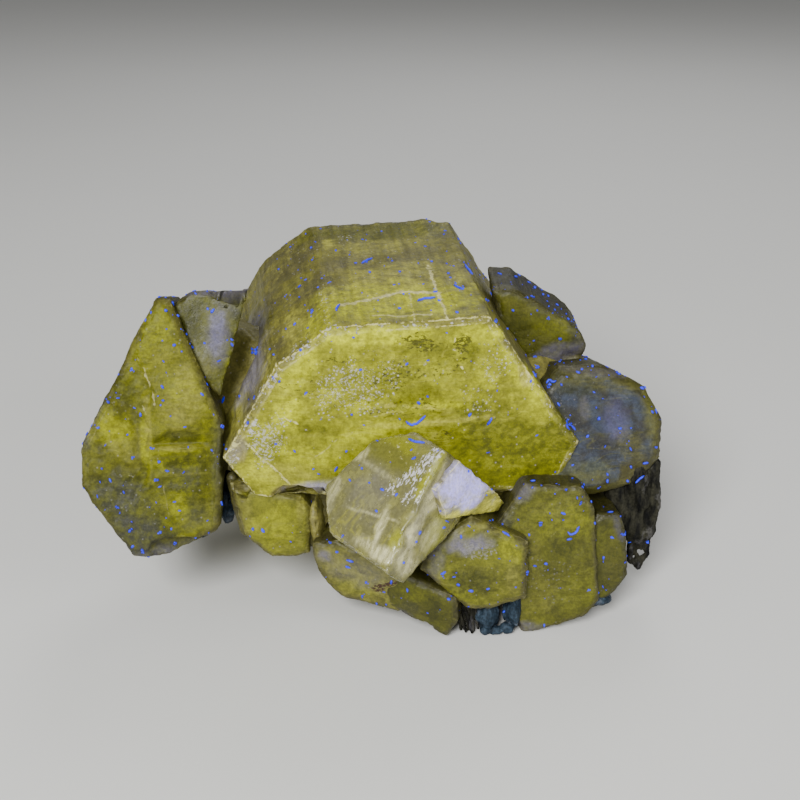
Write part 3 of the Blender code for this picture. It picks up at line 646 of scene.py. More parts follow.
# Patches that reach another depth or lie further in: (x, y, z, half width, half height, half depth, turn,
# strength).
DEEP_PATCHES = {
    "main": {
        "yellow": (
            (-1.5, 7.6, -5.6, 8.5, 2, 0.9, 0, 0.9), (1, 7.6, -1.6, 6, 2, 0.7, 0, 0.6),
            (-0.5, 7.8, -5, 9, 2, 5, 0, 0.85), (-6.6, 7.2, -3, 2.4, 2, 4.5, 20, 0.6),
        ),
        "olive": ((0, 7.8, -23, 9, 2, 3.5, 0, 0.85),),
        "milk": (
            (4.5, 7.6, -6.4, 3, 2, 0.5, 0, 0.9), (-2.2, 7.6, -6.4, 3.4, 2, 0.5, 0, 0.8),
            (1, 7.8, -10, 7, 2, 4, 0, 0.55), (-4.6, 7.8, -20, 0.8, 2, 1.6, 0, 0.8),
            (-8.4, 5.9, -5, 1.2, 1.6, 4.5, 35, 0.75), (-10.4, 3.4, -2.4, 1.2, 2, 2.4, 40, 0.5),
            (0.5, 7.8, -18.5, 5, 2, 2.5, 0, 0.4), (-13.4, -1.2, -4, 1.6, 2.4, 4, 0, 0.7),
        ),
        # The main crystal's own lilac skin, made paler here as painted light on its left side face, which
        # lies in shade.
        "lilac": ((-12.4, 1.4, -10, 2.6, 4.2, 9, 0, 0.6),),
        "smoke": ((8, 8, -24, 3, 2, 4, 0, 0.5), (0, 8.2, -26.5, 12, 3, 1.6, 0, 0.6)),
        "frost": ((1, 7.5, 0, 6, 0.3, 1, 0, 0.6),),
        "speckle": ((-5.8, 7.6, -6, 0.6, 2, 6, 0, 0.7), (-3, 7.6, -21, 1.4, 2, 2, 0, 0.6)),
    },
    "left": {
        "yellow": ((1.9, -1.9, 0, 2.2, 0.3, 2, 0, 1),),
        "milk": (
            (2.2, -1.6, 0, 2.2, 0.3, 1, 0, 0.8), (2, -3.7, 0, 2.1, 0.2, 1, 0, 0.5),
            (-0.1, 0.5, 0, 0.35, 2.4, 1, 0, 0.9),
        ),
        "lilac": ((-4.3, 3.6, -0.3, 0.4, 4, 3, -24, 0.6),),
        "smoke": ((-4.5, 1.4, -0.3, 0.8, 5, 3, -24, 0.7), (5.4, -3, -1.5, 0.8, 5, 3, 0, 0.3)),
    },
    "upper_right": {
        # Painted shade over the clear outer zone, and below it a painted highlight along the back edge seen
        # through it.
        "smoke": ((0.4, 3.4, -3.6, 5.5, 2.6, 3.4, -20, 0.9),),
        "frost": ((0.4, 3.4, -7.8, 5.5, 2.6, 0.6, -20, 0.8),),
    },
    "right": {
        "lilac": ((0.4, 4.9, 0, 4, 0.4, 2, -8, 0.5),),
        "violet": ((1.3, 0.9, 0, 1.3, 2, 4, 10, 0.5),),
    },
    "clear": {
        "yellow": (
            (0.8, 4.4, 0, 3, 0.8, 1.5, -8, 0.5), (4, 3.2, 0, 0.4, 2.6, 0.9, -10, 0.9),
            (4.1, -0.8, -4, 0.8, 3.4, 1.4, -20, 0.6), (3.4, -2.8, 0, 0.6, 1, 1, 0, 0.8),
        ),
        "olive": ((0.3, 3.4, 0, 3.8, 1.7, 1.5, -10, 0.8),),
        "milk": (
            (1.9, -2.6, 0, 0.42, 2.1, 1, 4, 1), (2.6, -4.1, 0, 2.2, 0.8, 1.5, -5, 1),
            (-2.8, 2.4, 0, 0.9, 0.5, 1, 40, 0.6), (-3.4, -1.6, 0, 0.6, 2, 1, 10, 0.5),
            (0.7, -1.6, 0, 3.4, 0.12, 1, 5, 0.6), (-0.4, 1.7, 0, 3.6, 0.25, 1, -10, 0.3),
            (4.1, 2.2, -1, 0.8, 2.4, 0.5, 0, 0.6), (4.1, -1, -1.3, 0.8, 3, 1.1, 0, 0.8),
            (4.1, 1.3, -1.6, 0.8, 1.6, 1.2, 0, 0.9), (4.1, -1.2, -3.4, 0.8, 3, 1.4, -30, 0.6),
            (4.1, -3.8, -1.8, 0.8, 1.2, 1.8, 0, 0.9),
        ),
        "lilac": ((4.1, -1.2, -1.2, 0.8, 2.2, 0.8, 0, 0.35), (-0.5, 0, 0, 2.6, 2.6, 1, 0, 0.3)),
        "violet": ((4.1, 3.6, -5.5, 0.8, 1.7, 3.5, 0, 0.6),),
        "frost": (
            (2.9, 2.9, 0, 1, 3.3, 1.2, -30, 1), (1.5, 1, 0, 1, 1.4, 1, -30, 0.9),
            (2.9, 0.5, 0, 0.6, 1.2, 1, -20, 0.9),
        ),
    },
    "shelf_left": {
        "rust": (
            (2.6, -0.3, 0, 1.9, 0.34, 2, 28, 1), (1.5, -0.9, 0, 0.8, 0.5, 2, 10, 1),
            (2.2, -0.9, 0, 1.7, 0.6, 2, 12, 0.6),
        ),
    },
    "shelf_right": {
        "smoke": ((-1, -0.6, 0, 1.2, 0.8, 2, 0, 0.4),),
        "rust": ((-2.6, 1.2, 0, 0.9, 0.5, 2, 20, 0.9),),
    },
    "spur": {
        "milk": ((-0.3, -0.4, 0, 3.4, 0.25, 2, -3, 1),),
    },
}


def patches_of(name):
    """A crystal's patches, each as its tone, centre, radii, turn and strength."""
    for tone, rows in FACE_PATCHES.get(name, {}).items():
        for x, y, wide, high, turn, strength in rows:
            yield tone, (x, y, 0), (wide, high, PATCH_DEPTH), turn, strength
    for tone, rows in DEEP_PATCHES.get(name, {}).items():
        for x, y, z, wide, high, deep, turn, strength in rows:
            yield tone, (x, y, z), (wide, high, deep), turn, strength


def painted(points, name, seed):
    """Strength of every tone at each point, with uneven borders."""
    tones = {tone: np.zeros(len(points)) for tone in TONES}
    ragged = 0.28 * rough_noise(points, 0.9, seed + 9, 4)
    for tone, centre, radii, turn, strength in patches_of(name):
        c, s = math.cos(math.radians(turn)), math.sin(math.radians(turn))
        x, y, z = (points - centre).T
        along, across = (x * c + y * s) / radii[0], (y * c - x * s) / radii[1]
        away = np.sqrt(along ** 2 + across ** 2 + (z / radii[2]) ** 2)
        tones[tone] = np.maximum(tones[tone], strength * (1 - step(away + ragged, 0.45, 1.15)))
    return tones


# ---- meshes into the scene ----

def add_mesh(name, points, faces, masks, local, material, slot, *nodes):
    """A piece with its masks as attributes, riding on the specimen in place of the nodes."""
    mesh = bpy.data.meshes.new(name)
    mesh.from_pydata(points.tolist(), [], faces)
    for key, values in masks.items():
        layer = mesh.attributes.new(key, "FLOAT", "POINT")
        layer.data.foreach_set("value", np.broadcast_to(values, len(points)).astype(np.float32).copy())
    place = mesh.attributes.new("local", "FLOAT_VECTOR", "POINT")
    place.data.foreach_set("vector", local.astype(np.float32).ravel())
    mesh.shade_smooth()
    mesh.materials.append(material)
    obj = add_object(name, mesh)
    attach(obj, "root")
    if nodes:
        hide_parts(*nodes)


def above_floor(points):
    """The points, with those under the floor lifted to it."""
    points[:, 2] = np.maximum(points[:, 2], 0.0)
    return points


def make_crystal(name, material):
    """One fine crystal: its planes, breaks, relief and wear."""
    spec, sizes = CRYSTALS[name], bpy.context.scene.apatite_sizes
    seed = 1000 + 40 * list(CRYSTALS).index(name)
    planes = planes_of(spec)
    points, faces = remeshed(filled_mesh(hull_mesh(*planes[:2])), spec.get("cell", CELL))
    breaks = [boulder_planes(*lump) for lump in BREAKS.get(name, ())]
    points, out, masks = worn_body(points, planes, breaks, sizes.edge_round / MM, seed)
    height = RELIEFS.get(name, plain_relief)(points, masks) + wear(points, masks, seed, sizes)
    local = points + out * height[:, None]
    masks.update(painted(points, name, seed))
    world = above_floor(moved(local, place_of(spec["face"], spec["turn"], spec["lift"])))
    add_mesh("crystal_" + name, world, faces, masks, local, material, "apatite", "apatite_crystals")


def make_root(name, material):
    """One mass of broken apatite behind the crystals."""
    centre, radii, seed, cell = ROOTS[name]
    sizes = bpy.context.scene.apatite_sizes
    normals, distances = boulder_planes(centre, radii, seed)
    normals = np.vstack((normals, (0, 0, -1)))
    distances = np.append(distances, 0.0)
    points, faces = remeshed(filled_mesh(hull_mesh(normals, distances)), cell)
    kinds = np.full(len(distances), BACK)
    points, out, masks = worn_body(points, (normals, distances, kinds), [], ROOT_ROUND, seed)
    height = wear(points, masks, seed, sizes)
    local = points + out * height[:, None]
    masks.update(painted(points, "root", seed))
    world = above_floor(moved(local, LAYOUT))
    add_mesh(name, world, faces, masks, local, material, "apatite", "apatite_crystals")


def capsules_mesh(capsules):
    """A mesh of tapered rods with round ends, each (start, finish, start radius, finish radius)."""
    bm = bmesh.new()
    for start, finish, near, far in capsules:
        start, finish = Vector(start), Vector(finish)
        run = finish - start
        place = Matrix.Translation((start + finish) / 2) @ run.to_track_quat("Z", "Y").to_matrix().to_4x4()
        bmesh.ops.create_cone(bm, segments=12, radius1=near, radius2=far, depth=run.length, cap_ends=True,
                              matrix=place)
        for at, radius in ((start, near), (finish, far)):
            bmesh.ops.create_icosphere(bm, subdivisions=2, radius=radius, matrix=Matrix.Translation(at))
    return filled_mesh(bm)


def normals_of(points, faces):
    """Vertex normals of a mesh given as points and faces."""
    quads = np.array([f if len(f) == 4 else (*f, f[-1]) for f in faces])
    across = points[quads[:, 2]] - points[quads[:, 0]]
    along = points[quads[:, 3]] - points[quads[:, 1]]
    out = np.zeros_like(points)
    for column in range(4):
        np.add.at(out, quads[:, column], np.cross(across, along))
    return out / np.maximum(np.linalg.norm(out, axis=1, keepdims=True), 1e-12)


# The dark crust under the right crystal, as rods in the layout: (start, finish, radius, radius).
CRUST = (
    ((19.4, 5.4, 12.6), (19.2, 4.4, 6.2), 1.7, 1.1),
    ((17.9, 3.7, 10.4), (18.9, 2.9, 7.6), 1.2, 0.85),
    ((19.4, 3.5, 11.6), (20.1, 2.9, 8.8), 1.2, 0.75),
    ((21.1, 3.8, 11.9), (21.3, 3.2, 8.4), 0.75, 0.5),
    ((20.1, 2.9, 8.8), (19.9, 2.8, 6.6), 0.6, 0.75),
    ((21.35, 3.2, 8.4), (21.0, 3.0, 6.5), 0.5, 0.6),
    ((18.9, 2.9, 7.6), (19.5, 2.8, 5.8), 0.8, 0.6),
    ((19.6, 2.8, 6.3), (21.0, 2.9, 6.3), 0.75, 0.65),
    ((20.3, 2.8, 6.2), (20.6, 2.8, 4.9), 0.8, 0.4),
    ((19.6, 2.8, 6.0), (19.55, 2.8, 3.5), 0.38, 0.28),
    ((19.55, 2.8, 3.5), (20.4, 2.8, 2.9), 0.28, 0.32),
    ((20.4, 2.8, 2.9), (21.1, 2.9, 4.0), 0.32, 0.3),
    ((21.1, 2.9, 4.0), (20.9, 2.9, 6.0), 0.3, 0.42),
    ((20.3, 2.8, 5.2), (20.0, 2.8, 4.3), 0.22, 0.18),
    ((20.0, 2.8, 4.3), (20.4, 2.8, 3.2), 0.18, 0.2),
    ((20.0, 2.8, 4.3), (19.5, 2.8, 4.0), 0.16, 0.16),
    ((20.6, 2.8, 4.9), (20.9, 2.9, 4.4), 0.2, 0.24),
)

# Slim remnants of crystals beside the lower left one, as rods.
SPLINTERS = (
    ((-13.6, 0.7, 12.4), (-13.5, 0.7, 10.4), 0.5, 0.36),
    ((-13.5, 0.7, 10.4), (-12.7, 0.6, 7.6), 0.36, 0.5),
    ((-7.4, 0.8, 6.4), (-7.0, 0.8, 9.0), 0.5, 0.26),
)

# Crumbs of matrix at the crystals' feet: (centre, radii, seed).
CRUMBS = (
    ((7.0, -3.2, 0.45), (0.5, 0.5, 0.42), 121), ((7.8, -3.3, 0.4), (0.6, 0.5, 0.38), 122),
    ((8.75, -3.2, 0.6), (0.55, 0.5, 0.45), 123), ((9.4, -3.0, 1.2), (0.4, 0.5, 0.4), 124),
    ((14.6, -1.3, 2.1), (1.0, 1.0, 0.9), 125), ((16.3, -1.0, 2.2), (1.2, 0.9, 0.75), 126),
    ((-21.2, -0.2, 6.2), (0.6, 0.8, 0.5), 127), ((-20.3, -0.3, 6.4), (0.7, 0.8, 0.45), 128),
    ((-19.0, -0.2, 7.0), (0.8, 0.8, 0.4), 129), ((-17.8, -0.1, 7.2), (0.7, 0.7, 0.35), 130),
    ((-16.4, 0.0, 7.8), (0.8, 0.7, 0.4), 131), ((-15.2, 2.0, 9.3), (0.45, 0.6, 0.6), 132),
    ((-14.0, 2.0, 9.0), (0.4, 0.6, 0.8), 133),
)

# Dark fibres beside the tip of the shelf: (top, foot), and their radii there.
FIBRE_TOP, FIBRE_FOOT = 0.16, 0.11
FIBRES = (
    ((4.7, -2.8, 2.9), (5.0, -3.0, 0.3)), ((5.1, -2.6, 2.9), (5.3, -2.9, 0.2)),
    ((5.5, -2.7, 2.8), (5.6, -3.0, 0.3)), ((5.8, -2.9, 2.6), (6.0, -3.1, 0.25)),
    ((6.1, -2.8, 2.4), (6.4, -3.1, 0.5)), ((4.9, -3.1, 1.8), (5.4, -3.2, 0.2)),
    ((5.4, -3.1, 2.0), (5.9, -3.3, 0.2)), ((4.5, -2.8, 2.2), (4.6, -2.9, 0.9)),
)

# Matrix lumps, as in the solids: name -> (centre, radii, seed, node).
GRAINS = {
    "grain_left": ((7.15, -2.3, 1.5), (1.0, 1.5, 1.45), 101, "matrix_grain_left"),
    "grain_right": ((9.25, -2.4, 2.0), (0.8, 1.3, 1.5), 102, "matrix_grain_right"),
    "grain_gap": ((-14.45, 3.4, 9.2), (0.85, 1.8, 2.3), 103, "matrix_grain_gap"),
}


def rough_piece(name, mesh, material, slot, *nodes, cell, height, scale, seed):
    """A piece of matrix, or splinters, from a rough mesh in the layout: remeshed, with a grainy skin."""
    points, faces = remeshed(mesh, cell)
    out = normals_of(points, faces)
    lift = height * rough_noise(points, scale, seed, 4)
    lift = lift + 0.25 * height * rough_noise(points, 4.0, seed + 5, 2)
    points = points + out * lift[:, None]
    world = above_floor(moved(points, LAYOUT))
    masks = {key: 0.0 for key in ("broken", "end", "rim", *TONES)}
    masks.update(side=1.0, gap=0.4 * np.clip(1 - lift / height, 0, 1))
    add_mesh(name, world, faces, masks, points, material, slot, *nodes)


def lumps_mesh(lumps, faces):
    """A mesh of broken lumps, each (centre, radii, seed)."""
    whole = bmesh.new()
    for centre, radii, seed in lumps:
        lump = filled_mesh(hull_mesh(*boulder_planes(centre, radii, seed, faces)))
        whole.from_mesh(lump)
        bpy.data.meshes.remove(lump)
    return filled_mesh(whole)


def make_grain(name, material):
    """One lump of matrix under the crystals."""
    *lump, node = GRAINS[name]
    rough_piece(name, lumps_mesh([lump], faces=26), material, "matrix_grain", node,
                cell=0.1, height=0.1, scale=(1.6, 1.6, 0.5), seed=lump[-1])


# ---- lint and dust ----

# Blue fibres, each a line of points (across, down) in the view.
LINT = (
    ((405, 420), (411, 425), (417, 423), (421, 420), (426, 414)), ((487, 426), (492, 416)),
    ((361, 264), (373, 258)), ((453, 285), (464, 291)), ((464, 264), (470, 272), (476, 280)),
    ((416, 302), (426, 299), (436, 298)), ((336, 313), (337, 308), (341, 304)), ((534, 365), (537, 367)),
    ((546, 385), (550, 379), (553, 383), (557, 380)), ((557, 401), (560, 407)),
    ((567, 419), (566, 426), (570, 430)), ((570, 424), (576, 431)), ((225, 395), (222, 404)),
    ((376, 440), (379, 442)), ((408, 439), (416, 442), (426, 443)), ((338, 465), (334, 472)),
    ((179, 328), (182, 331)), ((115, 398), (121, 398)), ((132, 407), (137, 409)), ((81, 446), (80, 455)),
    ((99, 480), (101, 484)), ((109, 477), (111, 483)), ((97, 494), (98, 499)), ((164, 470), (170, 472)),
    ((103, 518), (108, 521)), ((130, 527), (134, 530)), ((421, 529), (418, 536)), ((444, 520), (449, 522)),
    ((467, 524), (471, 528)), ((501, 531), (506, 534), (510, 537)), ((527, 544), (530, 547)),
    ((538, 523), (542, 522)), ((345, 559), (355, 562)), ((634, 483), (639, 479), (644, 475)),
    ((567, 531), (571, 535), (576, 532), (580, 525)), ((623, 564), (629, 558)), ((602, 584), (604, 589)),
    ((610, 598), (612, 593)), ((628, 543), (632, 541)), ((485, 452), (491, 452)), ((361, 240), (364, 240)),
    ((427, 222), (432, 223)), ((258, 290), (262, 297), (261, 303)), ((401, 420), (398, 417)),
    ((316, 473), (321, 474)), ((410, 452), (414, 449)),
)

# Clots of dust across the view: (across, down, radius in mm).
CLOTS = (
    (254, 352, 0.26), (257, 348, 0.18), (254, 276, 0.2), (301, 350, 0.14), (445, 231, 0.12),
    (400, 272, 0.12), (399, 284, 0.1), (350, 255, 0.1), (306, 393, 0.13), (427, 396, 0.12),
    (535, 288, 0.12), (519, 275, 0.12), (548, 318, 0.13), (535, 357, 0.15), (537, 367, 0.18),
    (549, 386, 0.16), (570, 424, 0.16), (222, 426, 0.15), (186, 334, 0.12), (192, 347, 0.12),
    (131, 369, 0.14), (98, 427, 0.14), (133, 458, 0.13), (184, 472, 0.12), (117, 507, 0.14),
    (160, 533, 0.16), (143, 552, 0.13), (175, 543, 0.14), (181, 547, 0.16), (253, 529, 0.12),
    (343, 536, 0.12), (416, 542, 0.12), (367, 583, 0.14), (443, 577, 0.12), (527, 573, 0.14),
    (504, 612, 0.14), (492, 631, 0.16), (631, 449, 0.14), (656, 448, 0.14), (581, 503, 0.14),
    (622, 534, 0.13), (647, 542, 0.14), (589, 590, 0.14), (540, 524, 0.16), (599, 418, 0.12),
    (330, 543, 0.12), (240, 396, 0.12), (273, 378, 0.1),
)

# Loose specks on each crystal.
SPECKS = {
    "main": 330, "left": 280, "upper_left": 80, "upper_right": 80, "right": 300, "front_right": 190,
    "far_right": 90, "front_middle": 110, "clear": 40, "lower_left": 60, "shelf_left": 80,
    "shelf_right": 60, "spur": 10,
}


def view_frame():
    """The view's place, and its right, up and forward directions, in metres."""
    tilt = math.radians(VIEW_TILT)
    back = Vector((0, -math.cos(tilt), math.sin(tilt)))
    up = Vector((0, math.sin(tilt), math.cos(tilt)))
    target = Vector((-MIDDLE[0], -MIDDLE[1], VIEW_HEIGHT)) * MM
    return target + back * VIEW_DISTANCE * MM, Vector((1, 0, 0)), up, -back


def surface_trees():
    """A search tree for each crystal and piece of matrix."""
    return [BVHTree.FromObject(obj, bpy.context.evaluated_depsgraph_get())
            for obj in bpy.data.objects if obj.name.startswith(DUSTY)]


def first_hit(trees, start, direction):
    """The nearest place and normal that a ray meets, or None."""
    hits = [tree.ray_cast(start, direction) for tree in trees]
    hits = [(hit[3], hit[0], hit[1]) for hit in hits if hit[0]]
    return min(hits, key=lambda hit: hit[0])[1:] if hits else None


def seen_at(trees, across, down):
    """The place and normal at a point of the view."""
    start, right, up, forward = view_frame()
    half = VIEW / 2
    way = forward + (right * (across - half) + up * (half - down)) * LENS_SENSOR / LENS_LENGTH / VIEW
    return first_hit(trees, start, way.normalized())


def add_tube(bm, points, normals, radius):
    """A thin closed tube with pointed ends along the points."""
    rings = []
    for i, (point, out) in enumerate(zip(points, normals)):
        along = points[min(i + 1, len(points) - 1)] - points[max(i - 1, 0)]
        across = along.cross(out).normalized()
        thick = radius * (0.45 if i in (0, len(points) - 1) else 1.0)
        rings.append([bm.verts.new(point + (across * math.cos(a) + out * math.sin(a)) * thick)
                      for a in np.radians(range(0, 360, 60))])
    for low, high in zip(rings, rings[1:]):
        for i in range(6):
            bm.faces.new((low[i - 1], low[i], high[i], high[i - 1]))
    bm.faces.new(rings[0])
    bm.faces.new(rings[-1][::-1])


def add_speck(bm, point, out, radii, rng):
    """A small uneven lump of dust lying on a surface."""
    along = out.orthogonal().normalized()
    spin = Matrix.Rotation(rng.uniform(0, math.tau), 3, out) @ along
    base = Matrix((spin, out.cross(spin), out)).transposed() @ Matrix.Diagonal(radii)
    place = Matrix.Translation(point + out * radii[2] * 0.5) @ base.to_4x4()
    made = bmesh.ops.create_icosphere(bm, subdivisions=1, radius=1.0, matrix=place)
    for vert in made["verts"]:
        vert.co += (vert.co - point) * rng.uniform(-0.25, 0.25)


def add_dust_mesh(name, bm, material):
    """The bmesh as a piece that rides on the specimen."""
    bmesh.ops.recalc_face_normals(bm, faces=bm.faces)
    for vert in bm.verts:
        vert.co.z = max(vert.co.z, 0.0)
    mesh = filled_mesh(bm, name)
    mesh.shade_smooth()
    mesh.materials.append(material)
    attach(add_object(name, mesh), "root")


def laid_line(trees, line, rng):
    """Points and normals where a line across the view lies on the specimen, with a slight wave."""
    points, normals = [], []
    for start, finish in zip(line, line[1:]):
        count = max(2, round(math.dist(start, finish) / LINT_STEP))
        for i in range(count):
            share = (i + 0.5) / count
            wave = rng.uniform(-LINT_WAVE, LINT_WAVE, 2)
            hit = seen_at(trees, start[0] + (finish[0] - start[0]) * share + wave[0],
                          start[1] + (finish[1] - start[1]) * share + wave[1])
            if hit and (not points or (hit[0] - points[-1]).length < LINT_JUMP * MM):
                points.append(hit[0] + hit[1] * LINT_RADIUS * MM * 0.8)
                normals.append(hit[1])
    return points, normals


def add_clot(bm, point, out, radius, rng):
    """Five specks of dust close together."""
    for _ in range(5):
        shift = Vector(rng.uniform(-1, 1, 3)) * radius * MM * 0.8
        shift -= out * shift.dot(out)
        radii = Vector(rng.uniform(0.3, 0.62, 3)) * radius * MM
        add_speck(bm, point + shift, out, radii, rng)


def make_lint(material):
    """Blue fibres and clots of dust that lie where the view shows them."""
    rng = np.random.default_rng(401)
    trees = surface_trees()
    bm = bmesh.new()
    for line in LINT:
        points, normals = laid_line(trees, line, rng)
        if len(points) > 1:
            add_tube(bm, points, normals, LINT_RADIUS * MM)
    for across, down, radius in CLOTS:
        hit = seen_at(trees, across, down)
        if hit:
            add_clot(bm, *hit, radius, rng)
    add_dust_mesh("lint", bm, material)


def make_dust(material):
    """Loose specks scattered over every crystal, where it is open to the air."""
    rng = np.random.default_rng(402)
    trees = surface_trees()
    bm = bmesh.new()
    for name, count in SPECKS.items():
        verts = bpy.data.objects["crystal_" + name].data.vertices
        for index in rng.integers(0, len(verts), count * 2):
            point, out = verts[int(index)].co, verts[int(index)].normal
            shaded = first_hit(trees, point + out * 0.2 * MM, out)
            if (shaded and (shaded[0] - point).length < SHELTER * MM) or rng.uniform() > 0.55 + 0.45 * out.z:
                continue
            size = SPECK_RADIUS * rng.uniform(0.45, 1.0) ** 2 * MM
            add_speck(bm, point, out, Vector((size * rng.uniform(1.0, 2.4), size, size * 0.7)), rng)
    add_dust_mesh("dust", bm, material)


# ---- materials ----

class Tree:
    """Short calls for building the nodes of one material or group."""

    def __init__(self, tree):
        self.tree = tree

    def fill(self, node, values):
        """Sets or links inputs of a node, by name or number."""
        for key, value in values.items():
            if isinstance(value, bpy.types.NodeSocket):
                self.tree.links.new(value, node.inputs[key])
            else:
                node.inputs[key].default_value = value
        return node

    def node(self, kind, values=None, **settings):
        """A new node, with its settings and then its inputs."""
        made = self.tree.nodes.new(kind if kind.startswith("Node") else "ShaderNode" + kind)
        for key, value in settings.items():
            setattr(made, key, value)
        return self.fill(made, values or {})

    def math(self, operation, *values):
        """A sum or the like of values."""
        return self.node("Math", dict(enumerate(values)), operation=operation).outputs[0]

    def times(self, a, b):
        """Two values multiplied."""
        return self.math("MULTIPLY", a, b)

    def most(self, a, b):
        """The greater of two values."""
        return self.math("MAXIMUM", a, b)

    def vector(self, operation, *values, give="Vector"):
        """The same as math, for vectors."""
        return self.node("VectorMath", dict(enumerate(values)), operation=operation).outputs[give]

    def mix(self, share, a, b, blend="MIX"):
        """A colour from a to b, by share."""
        return self.node("Mix", {0: share, 6: a, 7: b}, data_type="RGBA", blend_type=blend).outputs[2]

    def fit(self, value, low, high, start=0.0, end=1.0):
        """A value from low to high, turned smoothly into one from start to end."""
        return self.node("MapRange", {0: value, 1: low, 2: high, 3: start, 4: end},
                         interpolation_type="SMOOTHSTEP").outputs[0]

    def between(self, share, start, end):
        """A value from start to end, as a mask goes from 0 to 1."""
        return self.fit(share, 0, 1, start, end)

    def cloud(self, place, scale, detail, give="Fac", **values):
        """Noise over the place."""
        values.update(Vector=place, Scale=scale, Detail=detail)
        return self.node("TexNoise", values).outputs[give]

    def mask(self, name):
        """One of the masks that the piece's points carry."""
        return self.node("Attribute", attribute_name=name).outputs["Fac"]

    def effect(self, name, **values):
        """Places a shared effect, with its own values on its named sockets."""
        return self.node("Group", values, node_tree=bpy.data.node_groups[name]).outputs[0]


class Finish(Tree):
    """One material: its surface, and colours laid over one another in one tone, which partly paints in the
    shade and light on the piece.
    """

    def __init__(self, name, tone=1.0):
        self.material = bpy.data.materials.new(name)
        self.material.use_nodes = True
        super().__init__(self.material.node_tree)
        self.body = self.tree.nodes["Principled BSDF"]
        self.tone = tone

    def ride_on_local(self):
        """Lets the finish run with the piece's own millimetres."""
        self.place = self.node("Attribute", attribute_name="local").outputs["Vector"]

    def stretched(self, stretch):
        """The place, drawn out along the axes if a stretch is given."""
        return self.vector("MULTIPLY", self.place, stretch) if stretch else self.place

    def patches(self, scale, low=0.4, high=0.6, stretch=None):
        """A mask of soft uneven patches."""
        return self.effect("Blotches", Position=self.stretched(stretch), Scale=scale, Low=low, High=high)

    def crumbs(self, scale, cover, stretch=None):
        """A mask of ragged crumbs."""
        return self.effect("Crumbs", Position=self.stretched(stretch), Scale=scale, Cover=cover)

    def edge_frost(self, width):
        """A mask of the bruised edges."""
        return self.effect("Edge frost", Position=self.place, Gap=self.mask("gap"), Width=width)

    def paint(self, key):
        """One of the specimen's colours, in this finish's tone."""
        return (*(c * self.tone for c in getattr(bpy.context.scene.apatite_colours, key)), 1)

    def over(self, share, key):
        """Lays a colour over those before it."""
        self.colour = self.mix(share, self.colour, self.paint(key))

    def shade(self, light):
        """Darkens or lightens the colours so far."""
        self.colour = self.mix(1.0, self.colour, light, "MULTIPLY")

    def relief(self, height, strength, distance):
        """The surface's normal under a fine relief."""
        return self.node("Bump", {"Height": height, "Strength": strength, "Distance": distance}).outputs[0]


def effect_group(name, build, gives="Mask", **takes):
    """A shared effect of a place. Takes are its other inputs and their defaults, gives is its output."""
    tree = bpy.data.node_groups.new(name, "ShaderNodeTree")
    tree.interface.new_socket("Position", in_out="INPUT", socket_type="NodeSocketVector")
    for socket, value in takes.items():
        kind = "NodeSocketVector" if isinstance(value, tuple) else "NodeSocketFloat"
        tree.interface.new_socket(socket, in_out="INPUT", socket_type=kind).default_value = value
    tree.interface.new_socket(gives, in_out="OUTPUT", socket_type="NodeSocketFloat")
    t = Tree(tree)
    result = build(t, t.node("NodeGroupInput").outputs)
    t.node("NodeGroupOutput", {gives: result})


def veil_nodes(t, given):
    """Thin curved sheets, gathered in patches."""
    spot = t.vector("MULTIPLY", given["Position"], given["Stretch"])
    fold = t.cloud(spot, 1.0, 3.0, Distortion=0.6)
    thin = t.fit(t.math("ABSOLUTE", t.math("SUBTRACT", fold, 0.5)), given["Width"], 0.0)
    return t.times(thin, t.fit(t.cloud(spot, 0.35, 1.0), 0.45, 0.6))


def speck_nodes(t, given):
    """Scattered round specks."""
    cells = t.node("TexVoronoi", {"Vector": given["Position"], "Scale": given["Density"]})
    dot = t.fit(cells.outputs["Distance"], given["Size"], t.times(given["Size"], 0.5))
    chosen = t.node("SeparateColor", {0: cells.outputs["Color"]}).outputs[0]
    return t.times(dot, t.math("LESS_THAN", chosen, given["Share"]))


def blotch_nodes(t, given):
    """Soft uneven patches."""
    return t.fit(t.cloud(given["Position"], given["Scale"], 4.0, Roughness=0.6), given["Low"], given["High"])


def frost_nodes(t, given):
    """Bright bruises along an edge, broken up along their length."""
    nicks = t.cloud(given["Position"], 2.4, 5.0, Roughness=0.7)
    reach = t.times(given["Width"], t.fit(nicks, 0.35, 0.65, 0.25, 1.6))
    return t.math("SUBTRACT", 1.0, t.fit(given["Gap"], t.times(reach, 0.35), reach))


def crumb_nodes(t, given):
    """Ragged crumbs of many sizes, as many as the cover lets through."""
    fine = t.cloud(given["Position"], given["Scale"], 7.0, Roughness=0.68)
    level = t.math("SUBTRACT", 0.74, t.times(given["Cover"], 0.27))
    return t.fit(fine, level, t.math("ADD", level, 0.07))


def seam_nodes(t, given):
    """A wandering line between two points, of uneven width."""
    offset = t.vector("SUBTRACT", t.cloud(given["Position"], 0.9, 3.0, "Color"), (0.5, 0.5, 0.5))
    shift = t.node("VectorMath", {0: offset, "Scale": given["Wander"]}, operation="SCALE").outputs[0]
    spot = t.vector("ADD", given["Position"], shift)
    run = t.vector("SUBTRACT", given["Finish"], given["Start"])
    away = t.vector("SUBTRACT", spot, given["Start"])
    share = t.math("DIVIDE", t.vector("DOT_PRODUCT", away, run, give="Value"),
                   t.vector("DOT_PRODUCT", run, run, give="Value"))
    share = t.node("Clamp", {0: share}).outputs[0]
    foot = t.node("VectorMath", {0: run, "Scale": share}, operation="SCALE").outputs[0]
    gap = t.vector("DISTANCE", away, foot, give="Value")
    ragged = t.cloud(given["Position"], 2.2, 4.0)
    reach = t.times(given["Width"], t.fit(ragged, 0.35, 0.65, 0.35, 1.2))
    return t.fit(gap, reach, t.times(reach, 0.35))


